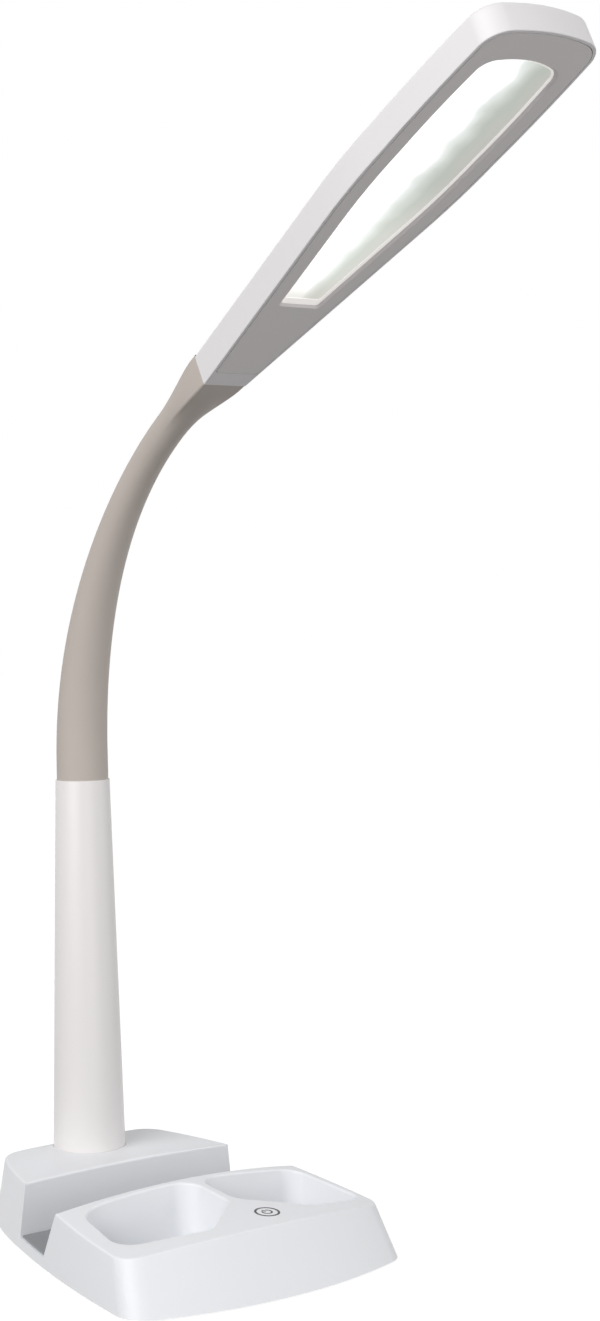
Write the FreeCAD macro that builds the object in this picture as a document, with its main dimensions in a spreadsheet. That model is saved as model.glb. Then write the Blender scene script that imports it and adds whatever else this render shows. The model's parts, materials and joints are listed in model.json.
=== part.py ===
import FreeCAD, Part
from collections import namedtuple
import math
import os
import re
import Sketcher

# Desk lamp with an open organiser base: a moulded two-step base with a phone slot and two
# cups, a conical stem, a friction gooseneck in a silicone sleeve, and a flat LED head.
# Frame: +Z up, the user sits on the -Y side, and the origin lies on the desk under the
# middle of the base. Lengths are in millimetres and angles in degrees.

Vector = FreeCAD.Vector
Rotation = FreeCAD.Rotation
X_AXIS = Vector(1, 0, 0)
Z_AXIS = Vector(0, 0, 1)

SIZES = {
    # Base housing, measured at its foot and at the top of its drafted form.
    "base_width": 165.0,
    "base_front": 100.0,
    "base_back": 100.0,
    "foot_gap": 1.0,
    "form_height": 40.0,
    "front_bow": 15.8,
    "front_bow_top": 13.1,
    "front_rake": 20.0,
    "shoulder_inset": 15.2,
    "shoulder_y": 42.0,
    "back_inset": 32.5,
    "side_bow": 2.9,
    "side_bow_top": 4.2,
    "rear_side_bow": 1.6,
    "front_side_rake": 7.5,
    "rear_side_rake": 4.7,
    "back_rake": 4.2,
    "front_corner": 15.0,
    "back_corner": 15.0,
    "housing_wall": 2.4,
    "edge_round": 1.3,
    # Crowned tops: the front block falls towards the user, the rear block is level.
    "front_ridge": 37.4,
    "front_fall": 3.8,
    "front_crown": 466.0,
    "rear_ridge": 35.7,
    "rear_crown": 1200.0,
    # Phone slot between the two blocks.
    "slot_front": 9.3,
    "slot_back": 43.5,
    "slot_floor": 6.2,
    "slot_lean": 25.3,
    "pad_thick": 1.2,
    "pad_margin": 1.5,
    "pad_gap": 0.4,
    # Cups.
    "cup_floor": 7.4,
    "cup_draft": 4.0,
    "cup_corner": 11.0,
    "cup_wide_corner": 16.0,
    "cup_floor_round": 3.0,
    "left_cup_x": -32.0,
    "right_cup_x": 40.0,
    "cup_y": -34.0,
    "back_rim": 2.95,
    "left_side_rim": 7.8,
    "left_front_rim": 11.4,
    "left_touch_gap": 20.62287,
    "left_cup_divider": 35.1,
    "divider_rim": 4.3,
    "right_touch_gap": 16.39705,
    "right_front_rim": 13.2,
    "right_side_rim": 3.1,
    # Closing plate, feet, ballast and fasteners.
    "plate_thick": 2.0,
    "plate_gap": 0.3,
    "foot_radius": 6.5,
    "front_foot_side": 24.5,
    "front_foot_inset": 34.0,
    "rear_foot_side": 12.0,
    "rear_foot_inset": 18.0,
    "ballast_side": 8.0,
    "ballast_thick": 12.0,
    "ballast_gap": 2.0,
    "ballast_inset": 16.0,
    "ballast_chamfer": 10.0,
    "post_radius": 3.8,
    "screw_radius": 1.25,
    "screw_length": 11.0,
    "screw_head_radius": 2.6,
    "screw_head_thick": 1.2,
    "screw_gap": 0.3,
    "mid_screw_side": 7.3,
    "mid_screw_inset": 9.3,
    "rear_screw_side": 20.3,
    "rear_screw_inset": 18.5,
    "touch_screw_side": 30.0,
    "touch_screw_inset": 12.5,
    # Electronics in the base.
    "board_thick": 1.6,
    "control_board_z": 21.0,
    "board_side": 8.0,
    "board_gap": 3.6,
    "board_clearance": 4.4,
    "board_post_radius": 3.0,
    "board_screw_side": 6.0,
    "touch_x": 10.0,
    "touch_inset": 34.0,
    "touch_board_radius": 11.0,
    "touch_board_z": 25.0,
    "touch_plate_radius": 6.5,
    "touch_plate_thick": 0.8,
    "touch_post_half": 8.0,
    "touch_post_radius": 1.5,
    "jack_side": 20.0,
    "jack_z": 15.0,
    "jack_radius": 4.2,
    "jack_bore": 2.9,
    "jack_pin": 1.0,
    "jack_flange": 1.0,
    "jack_flange_radius": 5.6,
    "jack_nut": 2.0,
    "jack_reach": 12.0,
    "jack_bottom": 1.5,
    # Stem.
    "stem_inset": 16.6,
    "stem_sink": 1.2,
    "stem_lean": 1.5,
    "stem_length": 199.0,
    "stem_foot_radius": 19.4,
    "stem_top_radius": 14.5,
    "stem_wall": 2.2,
    "stem_web": 6.0,
    "stem_seat_gap": 0.15,
    "boss_radius": 22.0,
    "boss_depth": 7.5,
    "nipple_gap": 0.1,
    "nipple_end": 2.0,
    "nipple_radius": 5.0,
    "nipple_bore": 3.6,
    "washer_clearance": 3.2,
    "washer_thick": 1.5,
    "nut_across": 17.0,
    "nut_thick": 5.0,
    "socket_length": 24.0,
    # Gooseneck: a straight start, one even bend, and a straight end that carries the head.
    "neck_straight": 13.2,
    "neck_radius": 205.0,
    "neck_bend": 62.3,
    "neck_end_straight": 29.0,
    "neck_lower_dia": 27.4,
    "neck_upper_dia": 16.0,
    "neck_taper_length": 200.0,
    "core_radius": 4.5,
    "first_hinge": 4.4,
    "hinge_pitch": 7.6,
    "ball_ratio": 1.25,
    "ball_gap": 0.3,
    "flare_mid_half": 8.9,
    "flare_mid_round": 4.5,
    "flare_end_half": 10.2,
    "flare_end_rise": 8.3,
    "flare_end_round": 2.2,
    "flare_head_round": 1.2,
    # Head.
    "head_neck_half": 12.4,
    "head_neck_height": 17.0,
    "head_tip_height": 15.0,
    "head_length": 267.5,
    "head_taper_end": 132.0,
    "head_taper_half": 28.5,
    "head_taper_bow": 0.9,
    "head_full_at": 185.0,
    "head_full_half": 31.7,
    "head_tip_half": 30.4,
    "head_tip_bow": 5.0,
    "head_shoulder_bow": 0.8,
    "head_corner": 13.0,
    "head_wall": 1.8,
    "head_edge_round": 2.2,
    "head_lip_round": 0.5,
    "panel_start": 10.6,
    "panel_rim": 1.5,
    "panel_ledge": 1.2,
    "inner_corner": 2.0,
    "panel_gap": 0.3,
    "panel_thick": 2.0,
    "window_start": 69.5,
    "window_margin": 10.3,
    "window_tip_margin": 18.8,
    "window_corner": 8.0,
    "window_bevel": 1.2,
    "diffuser_lap": 2.0,
    "diffuser_thick": 2.0,
    "led_board_thick": 1.6,
    "led_board_inset": 3.0,
    "led_long": 3.5,
    "led_wide": 2.8,
    "led_thick": 0.8,
    "led_round": 0.4,
    "first_led": 87.0,
    "led_pitch": 12.0,
    "led_row_half": 7.0,
    "bracket_half": 10.2,
    "bracket_length": 32.0,
    "bracket_height": 11.0,
    "bracket_screw_x": 6.9,
    "bracket_screw_u": 28.0,
    "bracket_bite": 2.5,
    "tip_length": 36.0,
}

HINGES = 7
LEDS_PER_ROW = 13

DOC = FreeCAD.newDocument("desk_lamp")


def make_sheet():
    """The driving dimensions, one alias a row."""
    sheet = DOC.addObject("Spreadsheet::Sheet", "Sizes")
    for row, (alias, number) in enumerate(SIZES.items(), start=1):
        sheet.set(f"A{row}", alias)
        sheet.set(f"B{row}", str(number))
        sheet.setAlias(f"B{row}", alias)
    DOC.recompute()
    return sheet


SHEET = make_sheet()


def cells(text):
    """An expression over the sheet: each alias in it is given the sheet's name."""
    def named(word):
        return f"Sizes.{word.group()}" if word.group() in SIZES else word.group()
    return re.sub(r"\b[a-z]\w*", named, text)


def value(text):
    """The number that an expression over the sheet comes to."""
    result = SHEET.evalExpression(cells(text))
    return float(getattr(result, "Value", result))


def bind(thing, prop, text):
    """Bind one property of an object to an expression over the sheet."""
    thing.setExpression(prop, cells(text))


# Bodies, sketches and features ------------------------------------------------------------


def new_body(label):
    body = DOC.addObject("PartDesign::Body", label)
    body.Label = label
    return body


def place(thing, x="0", y="0", z="0", turn=None):
    """Bind an object's Placement; turn is an angle about X."""
    if turn is not None:
        thing.Placement = FreeCAD.Placement(Vector(), Rotation(X_AXIS, value(turn)))
        bind(thing, "Placement.Rotation.Angle", turn)
    bind(thing, "Placement.Base.x", x)
    bind(thing, "Placement.Base.y", y)
    bind(thing, "Placement.Base.z", z)


def origin_plane(body, role):
    return next(item for item in body.Origin.OriginFeatures if item.Role == role)


def new_sketch(body, name, role="XY_Plane", x="0", y="0", z="0", turn=None):
    """A sketch on one of the body's own planes, shifted and turned about its own X."""
    sketch = body.newObject("Sketcher::SketchObject", name)
    sketch.AttachmentSupport = (origin_plane(body, role), "")
    sketch.MapMode = "FlatFace"
    if turn is not None:
        sketch.AttachmentOffset = FreeCAD.Placement(Vector(), Rotation(X_AXIS, value(turn)))
        bind(sketch, "AttachmentOffset.Rotation.Angle", turn)
    bind(sketch, "AttachmentOffset.Base.x", x)
    bind(sketch, "AttachmentOffset.Base.y", y)
    bind(sketch, "AttachmentOffset.Base.z", z)
    return sketch


def constrain(sketch, text, *parts):
    """Add a dimension whose number is an expression over the sheet."""
    index = sketch.addConstraint(Sketcher.Constraint(*parts, value(text)))
    bind(sketch, f"Constraints[{index}]", text)


def pin(sketch, edge, end, x, y):
    """Fix one end of an edge at a place given by two expressions."""
    constrain(sketch, x, "DistanceX", -1, 1, edge, end)
    constrain(sketch, y, "DistanceY", -1, 1, edge, end)


def bow_radius(start, end, bow):
    """Radius of the arc that rises by bow over the line from start to end."""
    return (f"((({start[0]}) - ({end[0]}))^2 + (({start[1]}) - ({end[1]}))^2)"
            f" / (8 * ({bow})) + ({bow}) / 2")


Corner = namedtuple("Corner", "x y bow round", defaults=(None, None))


def corner_frames(corners):
    """For each corner of a profile: its place, and the directions its edges arrive in and
    leave in. A bowed edge meets its chord at half the angle that it turns through."""
    places = [Vector(value(corner.x), value(corner.y), 0) for corner in corners]
    leaving, arriving = [], []
    for index, corner in enumerate(corners):
        chord = places[(index + 1) % len(corners)] - places[index]
        turn = 0
        if corner.bow:
            turn = math.degrees(2 * math.atan(2 * value(corner.bow) / chord.Length))
        chord.normalize()
        leaving.append(Rotation(Z_AXIS, -turn).multVec(chord))
        arriving.append(Rotation(Z_AXIS, turn).multVec(chord))
    arriving = arriving[-1:] + arriving[:-1]
    return list(zip(places, arriving, leaving))


def near_end(sketch, edge, place):
    """Which end of an edge, 1 or 2, lies nearer to a place."""
    ends = (sketch.getPoint(edge, 1), sketch.getPoint(edge, 2))
    return 1 if ends[0].distanceToPoint(place) < ends[1].distanceToPoint(place) else 2


def add_rounding(sketch, corner, frame):
    """Draw the arc that rounds a corner and return it with its two ends."""
    place, arriving, leaving = frame
    radius = value(corner.round)
    half_turn = arriving.getAngle(leaving) / 2
    trim = radius * math.tan(half_turn)
    start = place - arriving * trim
    end = place + leaving * trim
    inward = (leaving - arriving).normalize()
    middle = place + inward * (radius / math.cos(half_turn) - radius)
    arc = sketch.addGeometry(Part.Arc(start, middle, end), False)
    constrain(sketch, corner.round, "Radius", arc)
    return arc, start, end


def add_edge(sketch, corner, following, start, end):
    """Draw the edge between two trimmed corners: a line, or an arc where it has a bow."""
    if not corner.bow:
        return sketch.addGeometry(Part.LineSegment(start, end), False)
    side = (end - start).cross(Z_AXIS).normalize()
    middle = (start + end) * 0.5 + side * value(corner.bow)
    edge = sketch.addGeometry(Part.Arc(start, middle, end), False)
    constrain(sketch, bow_radius(corner, following, corner.bow), "Radius", edge)
    return edge


def outline(sketch, corners):
    """A closed profile through corners. A corner's bow makes the edge that leaves it an
    arc, which rises by that much to the right of its direction, and its round is the
    radius that rounds it off."""
    corners = [corner if isinstance(corner, Corner) else Corner(*corner) for corner in corners]
    frames = corner_frames(corners)
    roundings = {}
    for index, corner in enumerate(corners):
        if corner.round:
            roundings[index] = add_rounding(sketch, corner, frames[index])
    edges = []
    for index, corner in enumerate(corners):
        following = (index + 1) % len(corners)
        start = roundings[index][2] if index in roundings else frames[index][0]
        end = roundings[following][1] if following in roundings else frames[following][0]
        edges.append((add_edge(sketch, corner, corners[following], start, end), start, end))
    for index, corner in enumerate(corners):
        before, after = edges[index - 1], edges[index]
        join_corner(sketch, corner, before, after, roundings.get(index), frames[index][0])


def join_corner(sketch, corner, before, after, rounding, place):
    """Tie the two edges of a corner to its place, directly or through its rounding."""
    before_end = (before[0], near_end(sketch, before[0], before[2]))
    after_end = (after[0], near_end(sketch, after[0], after[1]))
    if rounding is None:
        sketch.addConstraint(Sketcher.Constraint("Coincident", *before_end, *after_end))
        pin(sketch, *after_end, corner.x, corner.y)
        return
    point = sketch.addGeometry(Part.Point(place), True)
    pin(sketch, point, 1, corner.x, corner.y)
    sketch.addConstraint(Sketcher.Constraint("PointOnObject", point, 1, before[0]))
    sketch.addConstraint(Sketcher.Constraint("PointOnObject", point, 1, after[0]))
    arc, start, end = rounding
    arc_start = (arc, near_end(sketch, arc, start))
    arc_end = (arc, near_end(sketch, arc, end))
    sketch.addConstraint(Sketcher.Constraint("Tangent", *before_end, *arc_start))
    sketch.addConstraint(Sketcher.Constraint("Tangent", *arc_end, *after_end))


def circle(sketch, radius, x="0", y="0"):
    edge = sketch.addGeometry(
        Part.Circle(Vector(value(x), value(y), 0), Z_AXIS, value(radius)), False)
    pin(sketch, edge, 3, x, y)
    constrain(sketch, radius, "Radius", edge)


def feature(body, kind, name, profile=None, **properties):
    """Add a PartDesign feature; text properties are expressions, others plain settings."""
    made = body.newObject(f"PartDesign::{kind}", name)
    if profile is not None:
        made.Profile = profile
        profile.Visibility = False
    for prop, setting in properties.items():
        if isinstance(setting, str) and prop in ("Length", "Length2", "Radius", "Size", "TaperAngle"):
            bind(made, prop, setting)
        else:
            setattr(made, prop, setting)
    return made


def cut_feature(body, kind, name, profile, **properties):
    """A feature that takes material away, checked to have done so."""
    DOC.recompute()
    before = body.Shape.Volume
    made = feature(body, kind, name, profile, **properties)
    DOC.recompute()
    if not body.Shape.Volume < before - 1e-3:
        raise RuntimeError(f"{body.Label}.{name} cut nothing")
    return made


def loft(body, kind, name, sketches):
    made = feature(body, kind, name, sketches[0])
    made.Sections = sketches[1:]
    return made


def edge_names(shape, chosen):
    return [f"Edge{index}" for index, edge in enumerate(shape.Edges, start=1) if chosen(edge)]


def round_edges(body, name, radius, chosen):
    """Fillet the chosen edges of the body's latest shape."""
    DOC.recompute()
    base = body.Tip
    names = edge_names(base.Shape, chosen)
    if not names:
        raise RuntimeError(f"{body.Label}.{name} found no edges")
    made = body.newObject("PartDesign::Fillet", name)
    made.Base = (base, names)
    bind(made, "Radius", radius)
    DOC.recompute()
    return made


def revolve_half(body, name, corners, kind="Revolution"):
    """Turn a half profile, drawn as (radius, height) corners, about the body's own Z."""
    sketch = new_sketch(body, f"{name}_profile", "XZ_Plane")
    outline(sketch, corners)
    made = feature(body, kind, name, sketch)
    made.ReferenceAxis = (sketch, ["V_Axis"])
    made.Angle = 360
    return made


# Base housing -----------------------------------------------------------------------------


SHOULDER_X = "base_width / 2 - shoulder_inset"
BACK_X = "base_width / 2 - back_inset"


def base_outline(inset, share="0"):
    """The shield-shaped plan of the base, drawn in by an even inset, at a share of the
    height of its drafted form: 0 at the foot and 1 at the top."""
    front_x = f"base_width / 2 - front_side_rake * ({share}) - ({inset})"
    front_y = f"front_bow - base_front + front_rake * ({share}) + ({inset})"
    waist_x = f"{SHOULDER_X} - rear_side_rake * ({share}) - ({inset})"
    back_x = f"{BACK_X} - rear_side_rake * ({share}) - ({inset})"
    back_y = f"base_back - back_rake * ({share}) - ({inset})"
    front_bow = f"front_bow + (front_bow_top - front_bow) * ({share})"
    side_bow = f"side_bow + (side_bow_top - side_bow) * ({share})"
    front_round = f"front_corner - ({inset})"
    back_round = f"back_corner - ({inset})"
    return [
        Corner(f"-({front_x})", front_y, front_bow, front_round),
        Corner(front_x, front_y, side_bow, front_round),
        Corner(waist_x, "shoulder_y", "rear_side_bow"),
        Corner(back_x, back_y, None, back_round),
        Corner(f"-({back_x})", back_y, "rear_side_bow", back_round),
        Corner(f"-({waist_x})", "shoulder_y", side_bow),
    ]


def base_slice(label, inset, low, high):
    """A slice of the drafted form between two heights above its foot, drawn in by inset."""
    body = new_body(label)
    sketches = []
    for name, height in (("low", low), ("high", high)):
        sketch = new_sketch(body, f"{label}_{name}", z=f"foot_gap + ({height})")
        outline(sketch, base_outline(inset, f"({height}) / form_height"))
        sketches.append(sketch)
    loft(body, "AdditiveLoft", f"{label}_walls", sketches)
    return body


def housing_form(label, inset, below):
    """The whole outer form of the base, drawn in by inset on every side but the bottom,
    which reaches below the foot. The housing is this form less the same form inset by
    the wall, so every wall keeps its thickness."""
    body = base_slice(label, inset, f"-({below})", "form_height")
    trim_tops(body, label, inset)
    cut_slot(body, label, inset)
    cut_cup(body, f"{label}_left_cup", "left_cup_x", LEFT_CUP, inset)
    cut_cup(body, f"{label}_right_cup", "right_cup_x", RIGHT_CUP, inset)
    return body


def crown_profile(sketch, ridge, crown):
    """Everything above a wide arc that peaks at the ridge height over the middle."""
    span = "base_width / 2 + 12"
    fall = f"{crown} - sqrt({crown}^2 - ({span})^2)"
    edge_z = f"({ridge}) - ({fall})"
    high = "foot_gap + form_height + 8"
    outline(sketch, [
        (f"-({span})", edge_z),
        (f"-({span})", high),
        (span, high),
        (span, edge_z, fall),
    ])


def trim_tops(body, label, inset):
    """Cut the front block to its falling crown and the rear block to its level one."""
    middle = "(slot_front + slot_back) / 2"
    front = new_sketch(body, f"{label}_front_top", "XZ_Plane", z=f"-({middle})",
                       turn="front_fall")
    rise = f"({middle} - slot_front) * tan(front_fall)"
    crown_profile(front, f"front_ridge + {rise} - ({inset})", "front_crown")
    cut_feature(body, "Pocket", f"{label}_front_crown", front,
                Length="base_front + slot_back + 20", Reversed=True)
    rear = new_sketch(body, f"{label}_rear_top", "XZ_Plane", z=f"-({middle})")
    crown_profile(rear, f"rear_ridge - ({inset})", "rear_crown")
    cut_feature(body, "Pocket", f"{label}_rear_crown", rear, Length="base_back + 20")


def cut_slot(body, label, inset):
    """The slot runs through from side to side; its front wall leans towards the user."""
    sketch = new_sketch(body, f"{label}_slot_profile", "YZ_Plane")
    floor_z = f"slot_floor - ({inset})"
    high = "foot_gap + form_height + 8"
    front_y = f"slot_front - ({inset})"
    back_y = f"slot_back + ({inset})"
    outline(sketch, [
        (front_y, floor_z),
        (back_y, floor_z),
        (back_y, high),
        (f"{front_y} - ({high} - ({floor_z})) * tan(slot_lean)", high),
    ])
    cut_feature(body, "Pocket", f"{label}_slot", sketch, Length="base_width * 1.2", Midplane=True)


TOUCH_Y = "touch_inset - base_front"


def slant(x, angle, gap):
    """How far a cup's slanted wall is from its middle, with a gap to the touch switch."""
    return f"(touch_x - {x}) * cos({angle}) + ({TOUCH_Y} - cup_y) * sin({angle}) - {gap}"


# Each cup is bounded by walls: the direction that a wall faces away from the cup's middle,
# its distance from there, and the radius of the corner that it makes with the next wall.
SIDE_TOP = "base_width / 2 - front_side_rake"
FRONT_TOP = "base_front - front_rake"
SLOT_EDGE = "slot_front - (front_ridge - slot_floor) * tan(slot_lean)"
LEFT_CUP = [
    (90, f"{SLOT_EDGE} - back_rim - cup_y", "cup_wide_corner"),
    (170.8, f"{SIDE_TOP} - left_side_rim + left_cup_x", "cup_wide_corner"),
    (256.5, f"{FRONT_TOP} - left_front_rim + cup_y", "cup_corner"),
    (313.5, slant("left_cup_x", 313.5, "left_touch_gap"), "cup_corner"),
    (360, "left_cup_divider", "cup_corner"),
]
RIGHT_CUP = [
    (90, f"{SLOT_EDGE} - back_rim - cup_y", "cup_corner"),
    (180, "right_cup_x - left_cup_x - left_cup_divider - divider_rim", "cup_wide_corner"),
    (230, slant("right_cup_x", 230, "right_touch_gap"), "cup_wide_corner"),
    (277.4, f"{FRONT_TOP} - right_front_rim + cup_y", "cup_corner"),
    (366, f"{SIDE_TOP} - right_side_rim - right_cup_x", "cup_corner"),
]


def wall_corner(x, y, first, second, grow):
    """Where two neighbouring walls of a cup meet, with both moved out by grow."""
    (angle, distance, _), (next_angle, next_distance, _) = first, second
    near, far = f"({distance} + {grow})", f"({next_distance} + {grow})"
    spread = f"sin({next_angle} - {angle})"
    across = f"({near} * sin({next_angle}) - {far} * sin({angle})) / {spread}"
    along = f"({far} * cos({angle}) - {near} * cos({next_angle})) / {spread}"
    return f"{x} + {across}", f"{y} + {along}"


def cut_cup(body, name, x, walls, grow):
    """Sink a drafted cup with rounded corners from above the top to its floor."""
    sketch = new_sketch(body, f"{name}_profile", z="foot_gap + form_height")
    corners = []
    for index, wall in enumerate(walls):
        corner = wall_corner(x, "cup_y", wall, walls[(index + 1) % len(walls)], grow)
        corners.append(Corner(*corner, None, f"{wall[2]} + {grow}"))
    outline(sketch, corners)
    cut_feature(body, "Pocket", name, sketch, TaperAngle="-cup_draft",
                Length=f"foot_gap + form_height - cup_floor + {grow}")


def stem_point(along):
    """Where the stem's axis is at a distance along it, as (y, z) expressions."""
    return (f"base_back - stem_inset + ({along}) * sin(stem_lean)",
            f"rear_ridge - stem_sink + ({along}) * cos(stem_lean)")


def stem_sketch(body, name, along):
    y, z = stem_point(along)
    return new_sketch(body, name, y=y, z=z, turn="-stem_lean")


def among(edges):
    """A test for the same edges in a later shape, by where their middles are."""
    places = [edge.CenterOfMass for edge in edges]
    return lambda edge: any(edge.CenterOfMass.distanceToPoint(at) < 1e-4 for at in places)


def crowned_faces(body, crown):
    """The faces of a body that lie on the arc of a crowned top."""
    return [face for face in body.Shape.Faces
            if isinstance(face.Surface, Part.Cylinder)
            and math.isclose(face.Surface.Radius, value(crown), rel_tol=1e-3)]


def round_tops(body):
    """Round the cups' floors, and then the rims of both blocks and of the cups in turn."""
    DOC.recompute()
    floors = [edge for face in body.Shape.Faces
              if abs(face.BoundBox.ZMax - value("cup_floor")) < 1e-3
              and face.BoundBox.ZLength < 1e-3
              for edge in face.Edges]
    rims = [(f"{crown}_rim_{number}", among(wire.Edges))
            for crown in ("front_crown", "rear_crown")
            for face in crowned_faces(body, crown)
            for number, wire in enumerate(face.Wires, start=1)]
    round_edges(body, "cup_floor_rounds", "cup_floor_round", among(floors))
    for name, chosen in rims:
        round_edges(body, name, "edge_round", chosen)


def circles_cut(body, name, radius, places, length, z, up, turn=None):
    """Cut one round hole at each (x, y) place, up or down from a height."""
    sketch = new_sketch(body, f"{name}_circles", z=z, turn=turn)
    for x, y in places:
        circle(sketch, radius, x, y)
    cut_feature(body, "Pocket", name, sketch, Length=length, Reversed=up)


# Where the closing plate's screws go, clear of the cups, the slot and the ballast.
FRONT_SCREW_Y = f"{TOUCH_Y} - touch_screw_inset"
MID_SCREW_X = f"({SHOULDER_X} - mid_screw_side)"
REAR_SCREW_X = f"({SHOULDER_X} - rear_screw_side)"
SCREW_PLACES = [("touch_x - touch_screw_side", FRONT_SCREW_Y),
                ("touch_x + touch_screw_side", FRONT_SCREW_Y),
                (f"-{MID_SCREW_X}", "slot_front - mid_screw_inset"),
                (MID_SCREW_X, "slot_front - mid_screw_inset"),
                (f"-{REAR_SCREW_X}", "slot_back + rear_screw_inset"),
                (REAR_SCREW_X, "slot_back + rear_screw_inset")]
BOARD_NEAR = "slot_back + housing_wall + board_gap"
BOARD_FAR = "base_back - stem_inset - nut_across / 2 - board_clearance"
BOARD_Y = f"({BOARD_NEAR} + {BOARD_FAR}) / 2"
BOARD_HALF = f"({BACK_X} - board_side)"
BOARD_PLACES = [(f"-({BOARD_HALF} - board_screw_side)", BOARD_Y),
                (f"{BOARD_HALF} - board_screw_side", BOARD_Y)]
TOUCH_PLACES = [("touch_x - touch_post_half", TOUCH_Y), ("touch_x + touch_post_half", TOUCH_Y)]


JACK_X = f"jack_side - ({BACK_X})"


def jack_sketch(body, name, depth="0"):
    """A sketch square to the back wall, depth inside it, at the inlet's place."""
    share = "(jack_z - foot_gap) / form_height"
    slope = "atan(back_rake / form_height)"
    return new_sketch(body, name, x=JACK_X,
                      y=f"base_back - back_rake * {share} - ({depth}) * cos({slope})",
                      z=f"jack_z - ({depth}) * sin({slope})", turn=f"{slope} - 90 deg")


def make_base_shell():
    """The moulded housing: outer form less inset form, with screw posts and bosses."""
    outer = housing_form("base_outer_form", "0", "0")
    round_tops(outer)
    seat = stem_sketch(outer, "stem_seat", "0")
    circle(seat, "stem_foot_radius + stem_seat_gap")
    cut_feature(outer, "Pocket", "stem_recess", seat, Length="10", Reversed=True)
    bore = stem_sketch(outer, "stem_bore", "0")
    circle(bore, "nipple_radius + nipple_gap")
    cut_feature(outer, "Pocket", "nipple_hole", bore, Length="boss_depth + 2")
    inlet = jack_sketch(outer, "inlet_circle", "-2")
    circle(inlet, "jack_radius")
    cut_feature(outer, "Pocket", "inlet_hole", inlet, Length="housing_wall * 3 + 2")
    circles_cut(outer, "screw_holes", "screw_radius", SCREW_PLACES,
                "plate_thick + screw_length", "foot_gap", True)
    hollow = housing_form("base_hollow_form", "housing_wall", "2")
    circles_cut(hollow, "screw_posts", "post_radius", SCREW_PLACES, "form_height",
                "foot_gap + plate_thick", True)
    circles_cut(hollow, "board_posts", "board_post_radius", BOARD_PLACES, "form_height",
                "control_board_z + board_thick", True)
    circles_cut(hollow, "touch_posts", "touch_post_radius", TOUCH_PLACES, "form_height",
                "touch_board_z + board_thick", True)
    boss = stem_sketch(hollow, "boss_circle", "-boss_depth")
    circle(boss, "boss_radius")
    cut_feature(hollow, "Pocket", "stem_boss", boss, Length="form_height", Reversed=True)
    shell = DOC.addObject("Part::Cut", "base_shell")
    shell.Base = outer
    shell.Tool = hollow
    return [shell]


# What closes and fills the base ------------------------------------------------------------


def make_base_plate():
    """The bottom cover, inside the foot of the walls, with sunk holes for its screws."""
    body = base_slice("base_plate", "housing_wall + plate_gap", "0", "plate_thick")
    circles_cut(body, "clearance_holes", "screw_radius + screw_gap", SCREW_PLACES,
                "plate_thick", "foot_gap", True)
    circles_cut(body, "head_seats", "screw_head_radius + screw_gap", SCREW_PLACES,
                "screw_head_thick", "foot_gap", True)
    return [body]


def group(label, solids):
    """Several separate solids kept as one node."""
    made = DOC.addObject("Part::Compound", label)
    made.Links = solids
    return [made]


def cylinder(label, radius, height, x, y, z, turn=None):
    made = DOC.addObject("Part::Cylinder", label)
    bind(made, "Radius", radius)
    bind(made, "Height", height)
    place(made, x, y, z, turn)
    return made


def screw(label, x, y, z, head_radius, head, radius, length, turn=None):
    """A pan-head screw that points up from the underside of its head."""
    top = cylinder(f"{label}_head", head_radius, head, x, y, z, turn)
    shank = cylinder(f"{label}_shank", radius, f"{head} + {length}", x, y, z, turn)
    made = DOC.addObject("Part::Fuse", label)
    made.Base = top
    made.Tool = shank
    return made


def make_base_fasteners():
    reach = "plate_thick - screw_head_thick + screw_length - 1"
    screws = [screw(f"base_screw_{number}", x, y, "foot_gap", "screw_head_radius",
                    "screw_head_thick", "screw_radius", reach)
              for number, (x, y) in enumerate(SCREW_PLACES, start=1)]
    return group("base_screws", screws)


def make_feet():
    """Rubber feet under the closing plate: one in the middle and one near each corner."""
    front_x, front_y = "(base_width / 2 - front_foot_side)", "front_foot_inset - base_front"
    rear_x, rear_y = f"({BACK_X} - rear_foot_side)", "base_back - rear_foot_inset"
    places = [("0", "0"), (f"-{front_x}", front_y), (front_x, front_y),
              (f"-{rear_x}", rear_y), (rear_x, rear_y)]
    feet = []
    for number, (x, y) in enumerate(places, start=1):
        foot = DOC.addObject("Part::Cone", f"foot_{number}")
        bind(foot, "Radius1", "foot_radius - foot_gap / 2")
        bind(foot, "Radius2", "foot_radius")
        bind(foot, "Height", "foot_gap")
        place(foot, x, y, "0")
        feet.append(foot)
    return group("rubber_feet", feet)


def make_slot_pad():
    """The soft pad on the slot's floor, which stops just short of both open ends."""
    sheet = base_slice("slot_pad_sheet", "pad_margin", "slot_floor - foot_gap",
                       "slot_floor - foot_gap + pad_thick")
    keep = DOC.addObject("Part::Box", "slot_pad_window")
    bind(keep, "Length", "base_width * 1.2")
    bind(keep, "Width", "slot_back - slot_front - 2 * pad_gap")
    bind(keep, "Height", "pad_thick * 3")
    place(keep, "-base_width * 0.6", "slot_front + pad_gap", "slot_floor - pad_thick")
    pad = DOC.addObject("Part::Common", "slot_pad")
    pad.Base = sheet
    pad.Tool = keep
    return [pad]


def make_ballast():
    """The steel weight that stands on the closing plate under the stem."""
    body = new_body("ballast_plate")
    sketch = new_sketch(body, "ballast_plan", z="foot_gap + plate_thick")
    front = "slot_back + housing_wall + ballast_gap"
    back = "base_back - ballast_inset"
    half = f"({BACK_X} - ballast_side)"
    outline(sketch, [
        Corner(f"-{half}", front),
        Corner(half, front),
        Corner(half, f"{back} - ballast_chamfer"),
        Corner(f"{half} - ballast_chamfer", back),
        Corner(f"-({half} - ballast_chamfer)", back),
        Corner(f"-{half}", f"{back} - ballast_chamfer"),
    ])
    feature(body, "Pad", "ballast", sketch, Length="ballast_thick")
    return [body]


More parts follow.
